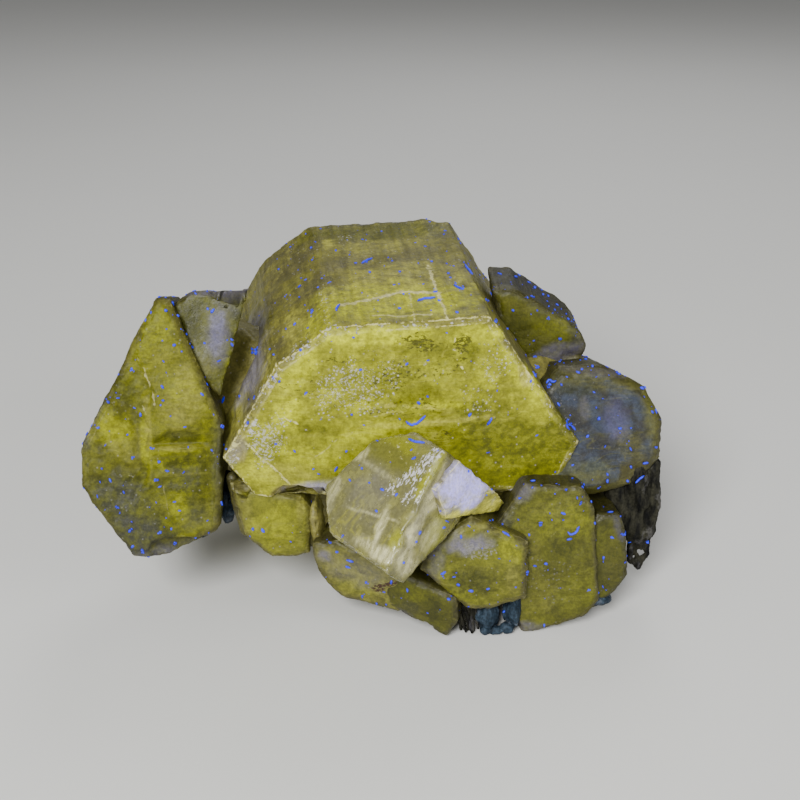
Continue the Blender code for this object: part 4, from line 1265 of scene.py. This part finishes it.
def etching_nodes(t, given):
    """Height of fine etching, with lines that run along the crystal."""
    fine = t.cloud(given["Position"], given["Scale"], 6.0, Roughness=0.62)
    drawn_out = t.vector("MULTIPLY", given["Position"], (3.2, 3.2, 0.12))
    lines = t.cloud(drawn_out, 1.0, 4.0, Roughness=0.6)
    return t.math("ADD", fine, t.times(lines, given["Streaks"]))


def make_effects():
    """The shared effects that the materials place."""
    effect_group("Growth veils", veil_nodes, Stretch=(0.3, 0.3, 0.3), Width=0.03)
    effect_group("Specks", speck_nodes, Density=1.0, Size=0.2, Share=0.3)
    effect_group("Blotches", blotch_nodes, Scale=0.3, Low=0.4, High=0.6)
    effect_group("Edge frost", frost_nodes, Gap=1.0, Width=0.2)
    effect_group("Crumbs", crumb_nodes, Scale=3.0, Cover=0.5)
    effect_group("Seam", seam_nodes, Start=(0, 0, 0), Finish=(1, 0, 0), Width=0.08, Wander=0.5)
    effect_group("Etching", etching_nodes, "Height", Scale=3.0, Streaks=0.0)


# How each crystal differs. "tone" is the lightness of all its colours, partly its own colour and partly
# painted shade and light: darker for the pieces other than the main crystal, lighter for the spur. "shine"
# is its reflection, "ends" the two colours of its end face and "face" how strongly they show. "frost" is
# the strength of the pale line on its edges, "width" the line's in mm, "rim" how bruised the rim is,
# "broken" how pale the breaks are, and "worn" how far they take the end face's colours. "seams" are
# (points, width, strength, colour) in its own mm.
LOOKS = {
    "main": dict(tone=0.93, shine=0.16, frost=0.8, width=0.13, rim=0.75, seams=(
        (((-4.7, 7.6, -4.3), (0.6, 7.8, -6.6), (3.4, 7.9, -6.2)), 0.42, 0.9, "pale_seam"),
        (((-1.5, 0.8, 0), (2.1, 0.4, 0)), 0.3, 0.6, "veil"),
        (((-1.4, -0.1, 0), (2.9, 0, 0)), 0.13, 0.6, "deep_olive"),
        (((-5, -1.7, 0), (-1.4, -0.1, 0)), 0.13, 0.6, "deep_olive"),
        (((-4.2, -0.9, 0), (-1.4, 0.2, 0), (3.3, 0.3, 0)), 0.16, 0.5, "veil"),
        (((3.5, 8, -12.8), (3.3, 7.6, 0)), 0.22, 0.9, "pale_seam"),
        (((1.1, 7.8, -6.2), (0.8, 7.6, -0.4)), 0.12, 0.5, "pale_seam"),
        (((-2.2, 7.6, -1.8), (2.2, 7.7, -1.4)), 0.24, 0.7, "pale_seam"),
        (((-8.6, 5.9, -5.6), (-4.7, 7.6, -4.3)), 0.3, 0.4, "veil"),
        (((3.8, 7.4, 0), (3.9, 5.2, 0)), 0.16, 0.8, "pale_seam"),
        (((3.7, 5.2, 0), (4.9, 2.9, 0)), 0.1, 0.9, "pale_seam"),
        (((-9.4, 0.2, 0), (-7.6, -1, 0)), 0.12, 0.7, "pale_seam"),
        (((-7.4, -3.6, 0), (-2.4, 0.4, 0)), 0.14, 0.3, "pale_seam"),
    )),
    "left": dict(tone=0.45, broken=0.1, worn=1.0, shine=0.09, seams=(
        (((-0.9, 5.9, 0), (-0.3, 4.8, 0), (0.4, 2.9, 0), (0.5, 1.7, 0)), 0.14, 0.9, "pale_seam"),
        (((-0.6, 2.2, 0), (-0.2, 1.1, 0)), 0.12, 0.9, "pale_seam"),
        (((-3.4, -2.2, 0), (-1.8, -3.6, 0)), 0.12, 0.6, "pale_seam"),
        (((-1.8, -3.6, 0), (0.6, -4, 0)), 0.12, 0.5, "pale_seam"),
        (((0.9, -4.2, 0), (1.2, -7, 0)), 0.1, 0.3, "pale_seam"),
    )),
    "upper_left": dict(tone=0.24, seams=(
        (((1.5, 0.8, 0), (1.2, -1, 0)), 0.16, 0.9, "pale_seam"),
        (((1.2, -1, 0), (0.2, -1.3, 0)), 0.12, 0.7, "pale_seam"),
    )),
    "upper_right": dict(tone=0.24),
    # The right crystal's end face is slate, blotched with dull blue-grey painted shade.
    "right": dict(tone=0.21, ends=("slate", "smoke")),
    "front_right": dict(tone=0.28, seams=(
        (((-0.5, 1.2, 0), (1.4, 4, 0)), 0.1, 0.3, "pale_seam"),
    )),
    "far_right": dict(tone=0.18),
    "front_middle": dict(tone=0.4),
    "lower_left": dict(tone=0.53),
    "shelf_left": dict(tone=0.37, ends=("side_olive", "veil")),
    "shelf_right": dict(tone=0.22),
    "spur": dict(tone=1.45, frost=0.5, face=0.2, rim=0.6),
    "root": dict(tone=0.75),
    "splinters": dict(tone=0.5),
}


def ground(f, look):
    """Blotchy side and end faces, under everything else."""
    sides = f.mix(f.patches(0.25, 0.35, 0.65), f.paint("side_olive"), f.paint("side_grey"))
    first, second = look.get("ends", ("face_yellow", "face_green"))
    ends = f.mix(f.patches(0.45, 0.38, 0.62), f.paint(first), f.paint(second))
    ended = f.most(f.mask("end"), f.times(f.mask("broken"), look.get("worn", 0.0)))
    f.colour = f.mix(f.times(ended, look.get("face", 0.9)), sides, ends)


def veils(f):
    """Milky veils and wisps, over the dark wakes between them."""
    sheets = f.effect("Growth veils", Position=f.place, Stretch=(0.25, 0.9, 0.5), Width=0.03)
    wisps = f.patches(0.9, 0.5, 0.78, (0.5, 1.8, 1.0))
    veil = f.most(f.times(sheets, 0.4), f.times(wisps, 0.35))
    veil = f.times(veil, f.between(f.mask("olive"), 1.0, 0.3))
    milk = f.patches(1.2, 0.35, 0.6, (0.6, 2.4, 1.6))
    veil = f.most(veil, f.times(f.mask("milk"), f.between(milk, 0.35, 1.0)))
    wakes = f.patches(1.1, 0.5, 0.72, (0.4, 1.9, 1.0))
    f.over(f.times(wakes, f.times(f.mask("end"), 0.45)), "deep_olive")
    f.over(veil, "veil")


def seams(f, look):
    """Healed cracks, each a path of straight pieces."""
    for points, width, strength, key in look.get("seams", ()):
        for start, finish in zip(points, points[1:]):
            line = f.effect("Seam", Position=f.place, Start=start, Finish=finish, Width=width)
            f.over(f.times(line, strength), key)


def shading(f, grain, side):
    """Fine mottling, and streaks along the sides."""
    fine = f.patches(4.5, 0.3, 0.7)
    streaks = f.patches(1.3, 0.3, 0.7, (1.6, 1.6, 0.1))
    light = f.times(f.between(fine, 0.82, 1.13), f.between(grain, 0.82, 1.12))
    f.shade(f.times(light, f.between(f.times(streaks, side), 1.0, 0.7)))


def speckles(f):
    """Pale specks and crumbs on the skin."""
    dots = f.effect("Specks", Position=f.place, Density=2.8, Size=0.28, Share=0.45)
    dots = f.times(dots, f.fit(f.mask("speckle"), 0.1, 0.7))
    sparse = f.effect("Specks", Position=f.place, Density=1.9, Size=0.18, Share=0.35)
    crumbs = f.most(f.times(f.crumbs(5.0, f.mask("speckle")), 0.7), dots)
    f.over(f.times(f.most(crumbs, f.times(sparse, 0.5)), 0.7), "frost")


def bruises(f, look):
    """Pale lines on the front edges and bruised rims. Gives the mask of both."""
    depth = f.node("SeparateXYZ", {0: f.place}).outputs[2]
    edge = f.edge_frost(look.get("width", 0.07))
    front = f.times(f.fit(depth, -1.4, -0.5), f.fit(depth, -0.1, -0.32, 0.2, 1.0))
    front = f.times(front, f.fit(f.mask("olive"), 0, 0.8, 1.0, 0.25))
    edge = f.times(edge, f.times(front, look.get("frost", 0.3)))
    f.over(edge, "pale_seam")
    bruised = f.most(f.mask("frost"), f.times(f.mask("rim"), look.get("rim", 0.3)))
    bruise = f.crumbs(2.8, bruised)
    f.over(f.times(bruise, 0.75), "frost")
    return f.most(edge, bruise)


def crystal_material(name):
    """Apatite of one crystal: zoned body colour, veils, bruised edges, flecks and etching."""
    look = LOOKS[name]
    # The tone's lightness is partly the crystal's own colour and partly painted shade and light.
    f = Finish("apatite " + name.replace("_", " "), look["tone"])
    f.ride_on_local()
    side, grain = f.mask("side"), f.patches(1.6, 0.3, 0.7)
    ground(f, look)
    f.over(f.times(f.mask("yellow"), f.between(grain, 0.65, 1.0)), "bright_yellow")
    f.over(f.times(f.mask("olive"), f.between(grain, 1.0, 0.65)), "deep_olive")
    veils(f)
    seams(f, look)
    f.over(f.times(f.mask("broken"), look.get("broken", 0.5)), "broken")
    # The first of these, dull blue-grey, is painted shade.
    for key in ("smoke", "lilac", "violet"):
        f.over(f.times(f.mask(key), f.between(grain, 1.0, 0.5)), key)
    shading(f, grain, side)
    flecks = f.crumbs(2.3, f.mask("fleck"), (1.0, 1.7, 1.0))
    f.over(f.times(flecks, 0.9), "fleck")
    speckles(f)
    frost = bruises(f, look)
    rust = f.crumbs(3.4, f.times(f.mask("rust"), 1.15), (1.0, 1.8, 1.0))
    f.over(f.times(rust, f.mask("rust")), "rust")
    height = f.effect("Etching", Position=f.place, Scale=3.0, Streaks=f.times(side, 1.2))
    height = f.math("ADD", height, f.times(f.math("SUBTRACT", frost, flecks), 0.5))
    f.fill(f.body, {
        "Base Color": f.colour,
        # The emission is a painted glow of the crystals' own colour.
        "Emission Color": f.colour,
        "Emission Strength": bpy.context.scene.apatite_sizes.painted_glow,
        "Roughness": f.math("ADD", f.between(grain, 0.38, 0.55), f.times(frost, 0.2)),
        "Normal": f.relief(height, 0.5, 0.00012),
        "IOR": APATITE_IOR,
        "Specular IOR Level": look.get("shine", 0.22),
        "Subsurface Weight": 0.2,
        "Subsurface Radius": (1.0, 0.9, 0.3),
        "Subsurface Scale": 0.0008,
    })
    return f.material


def clear_material():
    """See-through apatite: smoky, with milky wisps and bruised edges."""
    f = Finish("apatite clear")
    f.ride_on_local()
    slanted = f.node("VectorRotate", {"Vector": f.place, "Angle": CRACKLE_TURN},
                     rotation_type="Z_AXIS").outputs[0]
    crackle = f.effect("Crumbs", Position=f.vector("MULTIPLY", slanted, (5.4, 2.4, 2.0)), Scale=1.0,
                       Cover=f.mask("frost"))
    edge = f.edge_frost(0.07)
    frost = f.most(f.times(edge, 0.12), crackle)
    wisps = f.patches(1.0, 0.42, 0.75, (0.8, 0.6, 0.8))
    sheets = f.effect("Growth veils", Position=f.place, Stretch=(0.5, 0.35, 0.5), Width=0.05)
    f.colour = f.paint("clear_tint")
    f.over(f.times(f.most(wisps, sheets), 0.7), "veil")
    f.over(f.times(f.mask("olive"), 0.8), "face_green")
    f.over(f.times(f.mask("yellow"), 0.8), "bright_yellow")
    f.over(f.times(f.mask("lilac"), 0.5), "lilac")
    threads = f.patches(1.0, 0.38, 0.6, (4.0, 0.8, 1.5))
    milk = f.times(f.mask("milk"), f.between(threads, 0.4, 1.0))
    shreds = f.effect("Crumbs", Position=slanted, Scale=1.7, Cover=0.55)
    f.over(f.most(milk, f.times(shreds, f.between(f.mask("olive"), 0.3, 0.9))), "cream")
    f.over(f.mask("violet"), "violet")
    f.shade(f.between(f.patches(4.0, 0.3, 0.7), 0.85, 1.1))
    f.over(frost, "ice")
    height = f.effect("Etching", Position=f.place, Scale=2.0, Streaks=0.0)
    f.fill(f.body, {
        "Base Color": f.colour,
        "Roughness": f.between(f.most(f.most(frost, wisps), edge), 0.14, 0.6),
        "Normal": f.relief(height, 0.25, 0.0001),
        "IOR": APATITE_IOR,
        "Specular IOR Level": 0.15,
        "Transmission Weight": 0.45,
    })
    smoke = f.node("VolumeAbsorption", {"Color": f.paint("clear_depth"), "Density": 40.0})
    f.fill(f.tree.nodes["Material Output"], {"Volume": smoke.outputs[0]})
    return f.material


def dust_material():
    """Blue lint with a painted glow, some of it paler."""
    f = Finish("blue lint")
    f.place = f.node("NewGeometry").outputs["Position"]
    paler = f.patches(2500.0, 0.35, 0.65)
    f.colour = f.paint("dust")
    f.over(paler, "pale_dust")
    f.fill(f.body, {
        "Base Color": f.colour,
        # The emission is a painted glow that keeps the lint bright in shade.
        "Emission Color": f.colour,
        "Emission Strength": 0.4,
        "Roughness": f.between(paler, 0.6, 0.8),
    })
    return f.material


def rock_material(name, dark, pale, streaks):
    """Dull matrix: two colours in streaks, pale edges and a rough skin."""
    f = Finish(name)
    f.ride_on_local()
    f.colour = f.paint(dark)
    f.over(f.patches(1.6, 0.35, 0.65, (1.0, 1.0, 0.25)), pale)
    f.over(f.times(f.edge_frost(0.25), 0.06), "frost")
    f.shade(f.between(f.patches(5.0, 0.3, 0.7), 0.6, 1.2))
    height = f.effect("Etching", Position=f.place, Scale=4.0, Streaks=streaks)
    f.fill(f.body, {
        "Base Color": f.colour,
        "Roughness": f.between(f.patches(2.5), 0.55, 0.8),
        "Normal": f.relief(height, 0.6, 0.00012),
        "Specular IOR Level": 0.1,
    })
    return f.material


# ---- stage ----

# The lights: place, size, power and colour. All look at one point.
LIGHT_TARGET = (0, 0, 0.012)
LIGHTS = {
    "key": ((-0.08, -0.26, 0.20), 0.14, 1.7, (1, 1, 0.97)),
    "fill": ((0.25, -0.16, 0.12), 0.2, 0.4, (1, 1, 0.98)),
    "back": ((0.05, 0.22, 0.24), 0.16, 0.25, (1, 1, 1)),
}
SKY, SKY_STRENGTH = (1.0, 1.0, 0.98, 1), 0.2
FLOOR_DARK, FLOOR_PALE = (0.66, 0.66, 0.65, 1), (0.7, 0.7, 0.69, 1)
FLOOR_REACH = 1.5
CAMERA_NEAR, CAMERA_FAR = 0.005, 10.0


def aimed(obj, place, way):
    """Puts a light or camera at its place, facing a way."""
    obj.location = place
    obj.rotation_euler = way.to_track_quat("-Z", "Y").to_euler()
    return obj


def make_light(name):
    """One soft round light."""
    place, size, power, colour = LIGHTS[name]
    light = bpy.data.lights.new(name, "AREA")
    light.shape = "DISK"
    light.size = size
    light.energy = power
    light.color = colour
    aimed(add_object(name, light), place, Vector(LIGHT_TARGET) - Vector(place))


def make_sky():
    """An even pale sky."""
    world = bpy.data.worlds.new("studio")
    bpy.context.scene.world = world
    world.use_nodes = True
    Tree(world.node_tree).fill(world.node_tree.nodes["Background"], {"Color": SKY, "Strength": SKY_STRENGTH})


def make_camera():
    """A camera that looks down at the specimen's front."""
    place, _, _, forward = view_frame()
    data = bpy.data.cameras.new("camera")
    data.lens = LENS_LENGTH
    data.sensor_width = LENS_SENSOR
    data.clip_start = CAMERA_NEAR
    data.clip_end = CAMERA_FAR
    bpy.context.scene.camera = aimed(add_object("camera", data), place, forward)


def make_floor():
    """A plain pale floor, slightly uneven in tone."""
    bm = bmesh.new()
    bmesh.ops.create_grid(bm, x_segments=1, y_segments=1, size=FLOOR_REACH)
    mesh = filled_mesh(bm, "floor")
    f = Finish("pale floor")
    cloud = f.node("TexNoise", {"Scale": 40.0, "Detail": 5.0})
    f.fill(f.body, {"Base Color": f.mix(cloud.outputs["Fac"], FLOOR_DARK, FLOOR_PALE), "Roughness": 0.7})
    mesh.materials.append(f.material)
    add_object("floor", mesh)


# ---- settings, operators and panel ----

def length(name, description, default, most, least=0.0):
    """A length that a user may change, in metres."""
    return FloatProperty(name=name, description=description, default=default, min=least, max=most,
                         precision=5, unit="LENGTH")


def colour(name, description, default):
    """A colour that a user may change."""
    return FloatVectorProperty(name=name, description=description, default=default, min=0.0, max=1.0,
                               subtype="COLOR")


class ApatiteSizes(bpy.types.PropertyGroup):
    """Sizes of the specimen's fine detail."""

    edge_round: length("Edge rounding", "Softness of the crystals' edges", 0.00006, 0.0005, 0.00001)
    chip_depth: length("Chip depth", "Depth of the nicks along the edges", 0.0003, 0.001)
    groove_depth: length("Groove depth", "Depth of the grooves along the side faces", 0.00005, 0.0005)
    unevenness: length("Unevenness", "Slow swell of every face", 0.00012, 0.001)
    break_depth: length("Break roughness", "Height of the grain on broken surfaces", 0.00022, 0.001)
    # Painted glow: emission of the crystals' colour that lights them though they are no lamp, standing in
    # for their fluorescence.
    painted_glow: FloatProperty(name="Inner glow", description="Strength of the crystals' own light",
                        default=0.12, min=0.0, max=2.0, subtype="FACTOR")


class ApatiteColours(bpy.types.PropertyGroup):
    """Colours of the specimen's finishes."""

    face_yellow: colour("End face yellow", "Body colour of the end faces", (0.3, 0.31, 0.008))
    face_green: colour("End face olive", "Darker patches of the end faces", (0.195, 0.2, 0.006))
    bright_yellow: colour("Bright yellow", "Strong yellow patches", (0.46, 0.48, 0.004))
    deep_olive: colour("Deep olive", "Dark olive patches and pits", (0.09, 0.095, 0.002))
    side_olive: colour("Side olive", "Body colour of the side faces", (0.17, 0.16, 0.025))
    side_grey: colour("Side grey", "Greyer patches of the side faces", (0.12, 0.11, 0.035))
    veil: colour("Veil", "Milky veils", (0.41, 0.395, 0.06))
    pale_seam: colour("Pale seam", "Healed cracks", (0.62, 0.58, 0.25))
    broken: colour("Broken stone", "Fresh broken surfaces", (0.3, 0.27, 0.07))
    lilac: colour("Lilac", "Lilac bruises and skins", (0.36, 0.33, 0.46))
    frost: colour("Edge frost", "Bruised pale edges", (0.52, 0.5, 0.55))
    dust: colour("Dust", "Blue dust and lint", (0.003, 0.004, 0.55))
    pale_dust: colour("Pale dust", "Paler lint", (0.015, 0.03, 0.9))
    slate: colour("Slate", "Grey-green body of the duller crystals", (0.14, 0.19, 0.33))
    fleck: colour("Fleck", "Dark flecks under the end faces", (0.05, 0.05, 0.002))
    violet: colour("Violet", "Violet fluorescing skins", (0.38, 0.35, 0.8))
    # Painted shade: the dull blue-grey that darkens the crystals where they fall into shadow.
    smoke: colour("Smoke", "Dull blue-grey zones", (0.09, 0.09, 0.095))
    cream: colour("Cream", "Milky wisps of the clear crystal", (0.95, 0.9, 0.5))
    ice: colour("Ice", "White crackle of the clear crystal", (0.85, 0.83, 0.86))
    rust: colour("Rust", "Red-brown stain in the seam of the shelf", (0.085, 0.03, 0.015))
    clear_tint: colour("Clear tint", "Surface tint of the clear crystal", (0.23, 0.22, 0.095))
    clear_depth: colour("Clear depth", "Colour that the clear crystal takes in", (0.75, 0.74, 0.5))
    grain_dark: colour("Grain dark", "Darker streaks of the matrix grains", (0.01, 0.018, 0.028))
    grain_pale: colour("Grain pale", "Paler streaks of the matrix grains", (0.035, 0.055, 0.08))
    crust_dark: colour("Crust dark", "Darker streaks of the crust", (0.003, 0.003, 0.003))
    crust_pale: colour("Crust pale", "Paler streaks of the crust", (0.028, 0.027, 0.018))


class APATITE_OT_crystals(bpy.types.Operator):
    """Build the thirteen crystals"""

    bl_idname = "apatite.crystals"
    bl_label = "Crystals"

    def execute(self, context):
        for name in CRYSTALS:
            make_crystal(name, clear_material() if name == "clear" else crystal_material(name))
        return {"FINISHED"}


class APATITE_OT_roots(bpy.types.Operator):
    """Build the broken masses that the crystals grow from"""

    bl_idname = "apatite.roots"
    bl_label = "Root masses"

    def execute(self, context):
        material = crystal_material("root")
        for name in ROOTS:
            make_root(name, material)
        return {"FINISHED"}


class APATITE_OT_matrix(bpy.types.Operator):
    """Build the grains and the dark crust of matrix"""

    bl_idname = "apatite.matrix"
    bl_label = "Matrix"

    def execute(self, context):
        grey = rock_material("matrix grain", "grain_dark", "grain_pale", 1.0)
        dark = rock_material("matrix crust", "crust_dark", "crust_pale", 1.5)
        for name in GRAINS:
            make_grain(name, grey)
        rough_piece("crust", capsules_mesh(CRUST), dark, "matrix_crust", "matrix_crust",
                    cell=0.12, height=0.16, scale=(1.6, 1.6, 0.6), seed=301)
        rough_piece("crumbs", lumps_mesh(CRUMBS, faces=20), grey, "matrix_grain",
                    cell=0.09, height=0.1, scale=(1.6, 1.6, 1.0), seed=303)
        fibres = [(top, foot, FIBRE_TOP, FIBRE_FOOT) for top, foot in FIBRES]
        rough_piece("fibres", capsules_mesh(fibres), dark, "matrix_crust",
                    cell=0.06, height=0.04, scale=(2.0, 2.0, 0.5), seed=305)
        return {"FINISHED"}


class APATITE_OT_splinters(bpy.types.Operator):
    """Build the slim remnants of crystals"""

    bl_idname = "apatite.splinters"
    bl_label = "Splinters"

    def execute(self, context):
        material = crystal_material("splinters")
        rough_piece("splinters", capsules_mesh(SPLINTERS), material, "apatite", "apatite_crystals",
                    cell=0.1, height=0.08, scale=(1.2, 1.2, 0.3), seed=307)
        return {"FINISHED"}


class APATITE_OT_dust(bpy.types.Operator):
    """Lay the blue lint and dust on the crystals"""

    bl_idname = "apatite.dust"
    bl_label = "Lint and dust"

    def execute(self, context):
        material = dust_material()
        make_lint(material)
        make_dust(material)
        return {"FINISHED"}


class APATITE_OT_stage(bpy.types.Operator):
    """Build the floor, the lights and the camera"""

    bl_idname = "apatite.stage"
    bl_label = "Stage"

    def execute(self, context):
        make_floor()
        for name in LIGHTS:
            make_light(name)
        make_sky()
        make_camera()
        return {"FINISHED"}


class APATITE_PT_panel(bpy.types.Panel):
    """The specimen's settings and steps"""

    bl_idname = "APATITE_PT_panel"
    bl_label = "Apatite specimen"
    bl_space_type = "VIEW_3D"
    bl_region_type = "UI"
    bl_category = "Apatite"

    def draw(self, context):
        for group in (context.scene.apatite_sizes, context.scene.apatite_colours):
            for key in type(group).__annotations__:
                self.layout.prop(group, key)
        for operator in OPERATORS:
            self.layout.operator(operator.bl_idname)


OPERATORS = (APATITE_OT_crystals, APATITE_OT_roots, APATITE_OT_matrix, APATITE_OT_splinters, APATITE_OT_dust,
             APATITE_OT_stage)
CLASSES = (ApatiteSizes, ApatiteColours, *OPERATORS, APATITE_PT_panel)


def register():
    """Makes the settings, operators and panel known."""
    for cls in CLASSES:
        bpy.utils.register_class(cls)
    bpy.types.Scene.apatite_sizes = PointerProperty(type=ApatiteSizes)
    bpy.types.Scene.apatite_colours = PointerProperty(type=ApatiteColours)


def unregister():
    """Takes them away again."""
    del bpy.types.Scene.apatite_colours
    del bpy.types.Scene.apatite_sizes
    for cls in reversed(CLASSES):
        bpy.utils.unregister_class(cls)


def main():
    """Builds the specimen and its stage."""
    register()
    make_effects()
    bpy.ops.apatite.crystals()
    bpy.ops.apatite.roots()
    bpy.ops.apatite.matrix()
    bpy.ops.apatite.splinters()
    bpy.ops.apatite.dust()
    bpy.ops.apatite.stage()


if __name__ == "__main__":
    main()
